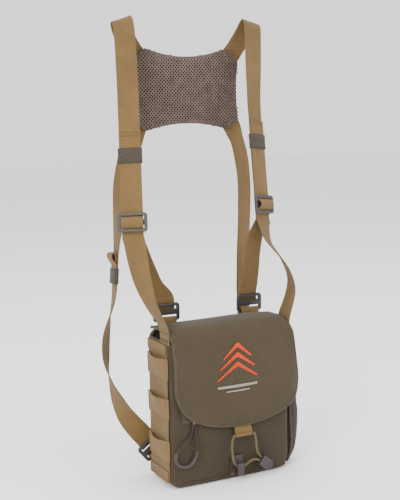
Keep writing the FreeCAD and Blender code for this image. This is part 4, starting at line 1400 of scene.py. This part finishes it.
# -------------------------------------------------------------- the harness
SHOULDER_SEATS = {"left": Seat((-104, -18.5, 218), (-93, 10, 345), -27),
                  "right": Seat((70, -15, 228), (75, 8, 343), 22)}
UNDERARM_SEATS = {"left": Seat((-109, 27.5, 150), (-104.5, 31, 190), -100),
                  "right": Seat((68, 26, 62), (68, 28.5, 100), 22)}
TOP_LOCK_SEATS = {"left": Seat((-54, 4, 104), (-54, 4, 114), 0),
                  "right": Seat((61, 4, 104), (61, 4, 114), 0)}
LOWER_LOCK_SEATS = {"left": Seat((-74, 7.5, -61.5), (-86.4, 9.9, -46.1), (0.76, -0.12, 0.64)),
                    "right": Seat((74, 7.5, -61.5), (86.4, 9.9, -46.1), (0.76, 0.12, -0.64))}
OVER_SHOULDER = {
    "left": [(-59, 49.4, 405, (0.727, 0, 0.687)), (-66, 49.4, 412.4, (0.727, 0, 0.687)),
             (-77, 47.5, 427, (0.86, -0.1, 0.46)), (-84, 44.5, 440, (0.93, -0.12, 0.34)),
             (-87.5, 41.5, 449.0, (0.92, -0.2, 0.34)), (-88, 36, 453.5, (0.92, -0.2, 0.34)),
             (-87.8, 30.8, 448.0, (0.93, -0.22, 0.28)),
             (-87.5, 28.6, 436, (0.95, -0.26, 0.10)), (-89, 21.5, 402, -20), (-91, 15, 370, -25)],
    "right": [(59, 49.4, 405, (0.727, 0, -0.687)), (66, 49.4, 412.4, (0.727, 0, -0.687)),
              (76, 47.5, 427, (0.86, 0.1, -0.46)), (83, 44.5, 440, (0.94, 0, -0.32)),
              (86.5, 41.5, 449.0, (0.95, 0, -0.28)), (87, 36, 453.5, (0.95, 0.02, -0.28)),
              (86.6, 30.8, 448.0, (0.97, 0.06, -0.2)),
              (85.8, 28.4, 438, 6), (81, 20, 400, 12), (77, 12.6, 365, 18)]}
BRIDLES = {
    "left": [(-99, -14, 192, -30), (-89.5, -7.5, 172, -28), (-77.6, -0.5, 150, -23), (-69.2, 3.6, 133, -16)],
    "right": [(64, -18, 202, 18), (60, -12, 184, 6), (61.5, -4, 160, 2), (63, 2, 140, 0), (63, 4.8, 126, 0)]}
OUTERS = {
    "left": [(-104.6, -25, 196, -30), (-104, -30, 174, -42), (-101, -36, 148, -62),
             (-93.5, -42, 121, -80), (-85.2, -46.5, 106, -88), (-81.6, -48.8, 97, -90), (-81.2, -48.8, 86, -90),
             (-81.2, -48.8, 79, -90)],
    "right": [(68.5, -24.2, 206, 28), (70, -27.5, 190, 44), (77, -30, 177, 58), (88, -33, 163, 66),
              (96.5, -37, 146, 72), (98, -41, 128, 80), (90, -45.8, 110, 88), (81.6, -48.8, 97, 90),
              (81.2, -48.8, 86, 90), (81.2, -48.8, 79, 90)]}
UNDERARM_TOP = {
    "left": [(-60.5, 49.4, 333, (0.853, 0, -0.521)), (-66, 49.4, 324, (0.853, 0, -0.521)),
             (-74, 46.5, 308, -25), (-83, 42, 288, -38), (-93, 38.5, 255, -54), (-98.5, 35, 222, -80)],
    "right": [(60.5, 49.4, 333, (0.853, 0, 0.521)), (66, 49.4, 324, (0.853, 0, 0.521)),
              (71.5, 47.5, 309, 20), (77, 45.5, 288, 18), (80.9, 44, 254, 20), (78.9, 42, 220, 22),
              (75.1, 38.5, 178, 22), (71.5, 34.5, 146, 22), (69, 31, 122, 22)]}
UNDERARM_LOW = {
    "left": [(-117, 26, 106, -115), (-124.3, 24.5, 80, -134), (-126.5, 22.5, 58, -134),
             (-125.4, 21, 42, -118), (-122.5, 19.5, 25, (-0.25, -0.95, 0.15)),
             (-117, 18, 7.5, (0.05, -0.93, 0.36)), (-110, 16.5, -12, (0.35, -0.77, 0.53)),
             (-101, 15, -27.5, (0.6, -0.5, 0.6)), (-94, 13.5, -36.5, (0.72, -0.3, 0.62))],
    "right": [(70, 22, 14, 40), (75, 19.5, -6, (0.85, 0.45, -0.3)), (82.5, 16.5, -24, (0.82, 0.25, -0.5)),
              (89, 14, -35, (0.77, 0.15, -0.62))]}
LOWER_TABS = {side: [(sign * x, y, z, (0.77, 0, -0.64 * sign)) for x, y, z in
                     ((62.6, 3.6, -73.8), (60, 1.3, -76.4), (57.8, 0.9, -78.2), (55.8, 0.9, -79.6))]
              for side, sign in (("left", -1), ("right", 1))}


@dataclass
class HarnessSide:
    """The webbing and hardware of one side, from the pad down to the pack."""

    side: str
    tail_keeper_at: float = 78.0
    underarm_keeper_at: float = 0.0

    def strap_piece(self, name: str, node: str, stations: list, per: int = 6, cup: float = 0.0) -> bpy.types.Object:
        """One tan strap that stands for a frame node."""
        return webbing(f"{self.side}_{name}", stations, (f"{self.side}_{node}",), per, cup=cup)

    def shoulder(self) -> None:
        """Over the shoulder, down the front, and the free tail through the triglide."""
        seat = SHOULDER_SEATS[self.side]
        over = hinted(OVER_SHOULDER[self.side]) + seat.stations([(127, 0), (90, 0), (50, 0), (-14, 0)])
        self.strap_piece("shoulder_webbing", "shoulder_strap", over)
        tail = [(104, 2.0), (100, 1.66), (92, 1.65), (60, 1.65), (20, 1.6), (11, 1.65), (7.4, 2.2), (5.0, 6.6),
                (2.4, 10.2), (-2.4, 10.2), (-5.0, 6.6), (-7.4, 2.2), (-13, 1.65)]
        self.strap_piece("tail_webbing", "strap_tail", seat.stations(tail), 4)
        hem = [seat.point(101, 3.6, across) for across in (-11, 11)]
        stitches(f"{self.side}_tail_hem_stitches", hem, seat.out, TAN_THREAD, "pack", 1.4, 1.9, 0.6)
        dress_node(f"{self.side}_triglide", BUCKLE_PLASTIC, 0.9)

    def lower_straps(self) -> None:
        """The bridle to the top ladder-lock and the outer strap to the pack's side."""
        seat, lock = SHOULDER_SEATS[self.side], TOP_LOCK_SEATS[self.side]
        bridle = seat.stations([(-14.4, 0), (-20, 0)]) + hinted(BRIDLES[self.side])
        bridle += lock.stations([(16, -1.1), (11, -1.1), (6, -1.1), (3, -1.1)])
        self.strap_piece("bridle_webbing", "bridle_strap", bridle, cup=0.3)
        outer = seat.stations([(-13.4, 1.65), (-18, 1.9)]) + hinted(OUTERS[self.side])
        piece = self.strap_piece("outer_webbing", "outer_strap", outer, cup=0.5)
        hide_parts(f"{self.side}_strap_hem")
        sign = -1 if self.side == "left" else 1
        for row, height in enumerate((82.0, 84.0, 92.0)):
            line = [mm(sign * 82.3, -59.5, height), mm(sign * 82.3, -38.5, height)]
            stitches(f"{self.side}_side_hem_tack_{row}", line, Vector((sign, 0, 0)), DARK_THREAD, "pack",
                     1.2, 1.7, 0.7)
        dress_node(f"{self.side}_top_lock", DARK_PLASTIC, 0.8)

    def tabs(self) -> None:
        """The folded tabs that hold the ladder-locks."""
        lock = TOP_LOCK_SEATS[self.side]
        x = lock.place.x / MM
        rows = [(-1.5, 86.0), (-1.5, 90.5), (-0.9, 94), (0.0, 97.4), (2.4, 98.3), (4.9, 97.2), (5.2, 94.4),
                (3.4, 91.4), (0.4, 88.6)]
        stations = [(mm(x, y, z), Vector((1, 0, 0))) for y, z in rows]
        webbing(f"{self.side}_top_tab_webbing", stations, (f"{self.side}_top_tab",), 4, 24.6, 1.2)
        low = LOWER_LOCK_SEATS[self.side]
        flat = low.stations([(-2.5, -1.3), (-7, -1.3), (-12, -1.3)]) + hinted(LOWER_TABS[self.side])
        webbing(f"{self.side}_lower_tab_webbing", flat, (f"{self.side}_lower_tab",), 4, 24.6, 1.3)
        rows = [(-16, -0.1), (-13.6, 1.8), (-12.2, 3.8), (-9.5, 4.7), (-6.6, 4.4), (-5.2, 2.6), (-4.8, 0.4),
                (-3.6, -0.2)]
        webbing(f"{self.side}_lower_tab_fold", low.stations(rows), (), 4, 24.4, 1.1)
        dress_node(f"{self.side}_lower_lock", BUCKLE_PLASTIC, 0.8)

    def underarm(self) -> None:
        """From the pad's lower corner to the ladder-lock at the pack's lower corner."""
        arm, lock = UNDERARM_SEATS[self.side], LOWER_LOCK_SEATS[self.side]
        under = hinted(UNDERARM_TOP[self.side]) + arm.stations([(40, 0), (5, 0), (-28, 0)])
        under += hinted(UNDERARM_LOW[self.side]) + lock.stations([(22, -1.3), (12, -1.3), (4, -1.3)])
        self.strap_piece("underarm_webbing", "underarm_strap", under, cup=0.4)
        tail = [(-10, 1.65), (2, 1.65), (9, 1.65), (12.6, 1.65), (14.6, 1.95), (16.6, 3.6), (20.2, 7.0), (24.3, 8.3),
                (27.6, 6.4), (28, 3.9), (25, 2.3), (20, 1.9), (17.4, 1.8)]
        self.strap_piece("underarm_tail_webbing", "underarm_tail", arm.stations(tail), 4)

    def keeper(self, name: str, node: str, seat: Seat, along: float) -> None:
        """An elastic sleeve that slides on a stack of webbing."""
        half, low, high, middle = 13.6, -1.5, 3.1, 0.8
        section = ((half, low + 0.9), (half + 0.2, middle), (half, high - 0.9), (half - 1.4, high),
                   (0.0, high + 0.25), (-half + 1.4, high), (-half, high - 0.9), (-half - 0.2, middle),
                   (-half, low + 0.9), (-half + 1.4, low), (0.0, low - 0.15), (half - 1.4, low))
        rings = []
        for level, grow in ((-8.6, -0.35), (-9.0, 0.0), (-8.6, 0.45), (-4, 0.35), (0, 0.25), (4, 0.35), (8.6, 0.45),
                            (9.0, 0.0), (8.6, -0.35)):
            ring = []
            for across, out in section:
                wide = across + math.copysign(grow, across) if abs(across) > 1 else across
                tall = out + (grow if out > middle else -grow if out < middle else 0.0)
                ring.append(seat.point(along + level, tall, wide))
            rings.append(ring)
        piece = sweep(f"{self.side}_{name}", rings, closed=True)
        body = f"{self.side}_{node}"
        finish_piece(piece, KEEPER_ELASTIC, body, (body,), smooth=60)

    def build(self) -> None:
        """Make every piece of this side."""
        self.shoulder()
        self.lower_straps()
        self.tabs()
        self.underarm()
        self.keeper("tail_keeper", "keeper", SHOULDER_SEATS[self.side], self.tail_keeper_at)
        self.keeper("underarm_tail_keeper", "underarm_keeper", UNDERARM_SEATS[self.side], self.underarm_keeper_at)
        LOG.info("harness, %s side", self.side)


# ------------------------------------------------------------------- studio
@dataclass
class Studio:
    """A pale floor, soft light and the camera."""

    eye: tuple = (-562.4, -1078.8, 353.3)
    azimuth: float = -27.2
    pitch: float = 8.3
    roll: float = -1.0
    aim: tuple = (0, 0, 0.1)
    film_height: float = 36.0
    focal_share: float = 1009.0 / 500.0

    def camera(self) -> None:
        """A camera at eye level with the shoulder straps, looking a little down."""
        deselect()
        bpy.ops.object.camera_add(location=mm(*self.eye))
        camera = bpy.context.object
        camera.name = "view_camera"
        turn = Matrix.Rotation(math.radians(self.azimuth), 3, "Z")
        tilt = Matrix.Rotation(math.radians(90 - self.pitch), 3, "X")
        spin = Matrix.Rotation(math.radians(self.roll), 3, "Z")
        camera.rotation_euler = (turn @ tilt @ spin).to_euler()
        camera.data.sensor_fit = "VERTICAL"
        camera.data.sensor_height = self.film_height
        camera.data.lens = self.film_height * self.focal_share
        bpy.context.scene.camera = camera

    def floor(self) -> None:
        """A wide pale floor just under the pack."""
        deselect()
        bpy.ops.mesh.primitive_plane_add(size=12.0, location=(0, 0, CAD_BOX[0][2] - 0.005))
        floor = bpy.context.object
        floor.name = "studio_floor"
        material = bpy.data.materials.new("pale_floor")
        material.use_nodes = True
        shader = material.node_tree.nodes["Principled BSDF"]
        set_inputs(shader, {"Base Color": (0.93, 0.93, 0.925, 1.0), "Roughness": 0.9})
        floor.data.materials.append(material)

    def light(self, name: str, place: tuple, size: float, power: float) -> None:
        """One soft area light."""
        deselect()
        bpy.ops.object.light_add(type="AREA", location=place)
        lamp = bpy.context.object
        lamp.name = name
        lamp.data.size = size
        lamp.data.energy = power
        way = Vector(self.aim) - Vector(place)
        lamp.rotation_euler = way.to_track_quat("-Z", "Y").to_euler()

    def build(self) -> None:
        """Make the whole studio."""
        self.camera()
        self.floor()
        self.light("key_light", (-1.7, -1.2, 1.3), 1.2, 55)
        self.light("fill_light", (1.3, -1.5, 0.8), 1.4, 22)
        self.light("top_light", (0.1, 0.3, 2.0), 1.5, 26)
        world = bpy.data.worlds.new("studio_world")
        world.use_nodes = True
        set_inputs(world.node_tree.nodes["Background"], {"Color": (1.0, 1.0, 1.0, 1.0), "Strength": 1.5})
        bpy.context.scene.world = world


def main() -> None:
    """Build the camera and cords first, then each sub-assembly."""
    logging.basicConfig(level=logging.INFO, format="%(name)s: %(message)s")
    Studio().build()
    for part in (ZipClosure(), Closure(), PackBody(), SideLadder(), StashPocket(), Lid(), BackPad(),
                 HarnessSide("left"), HarnessSide("right")):
        part.build()


if __name__ == "__main__":
    main()
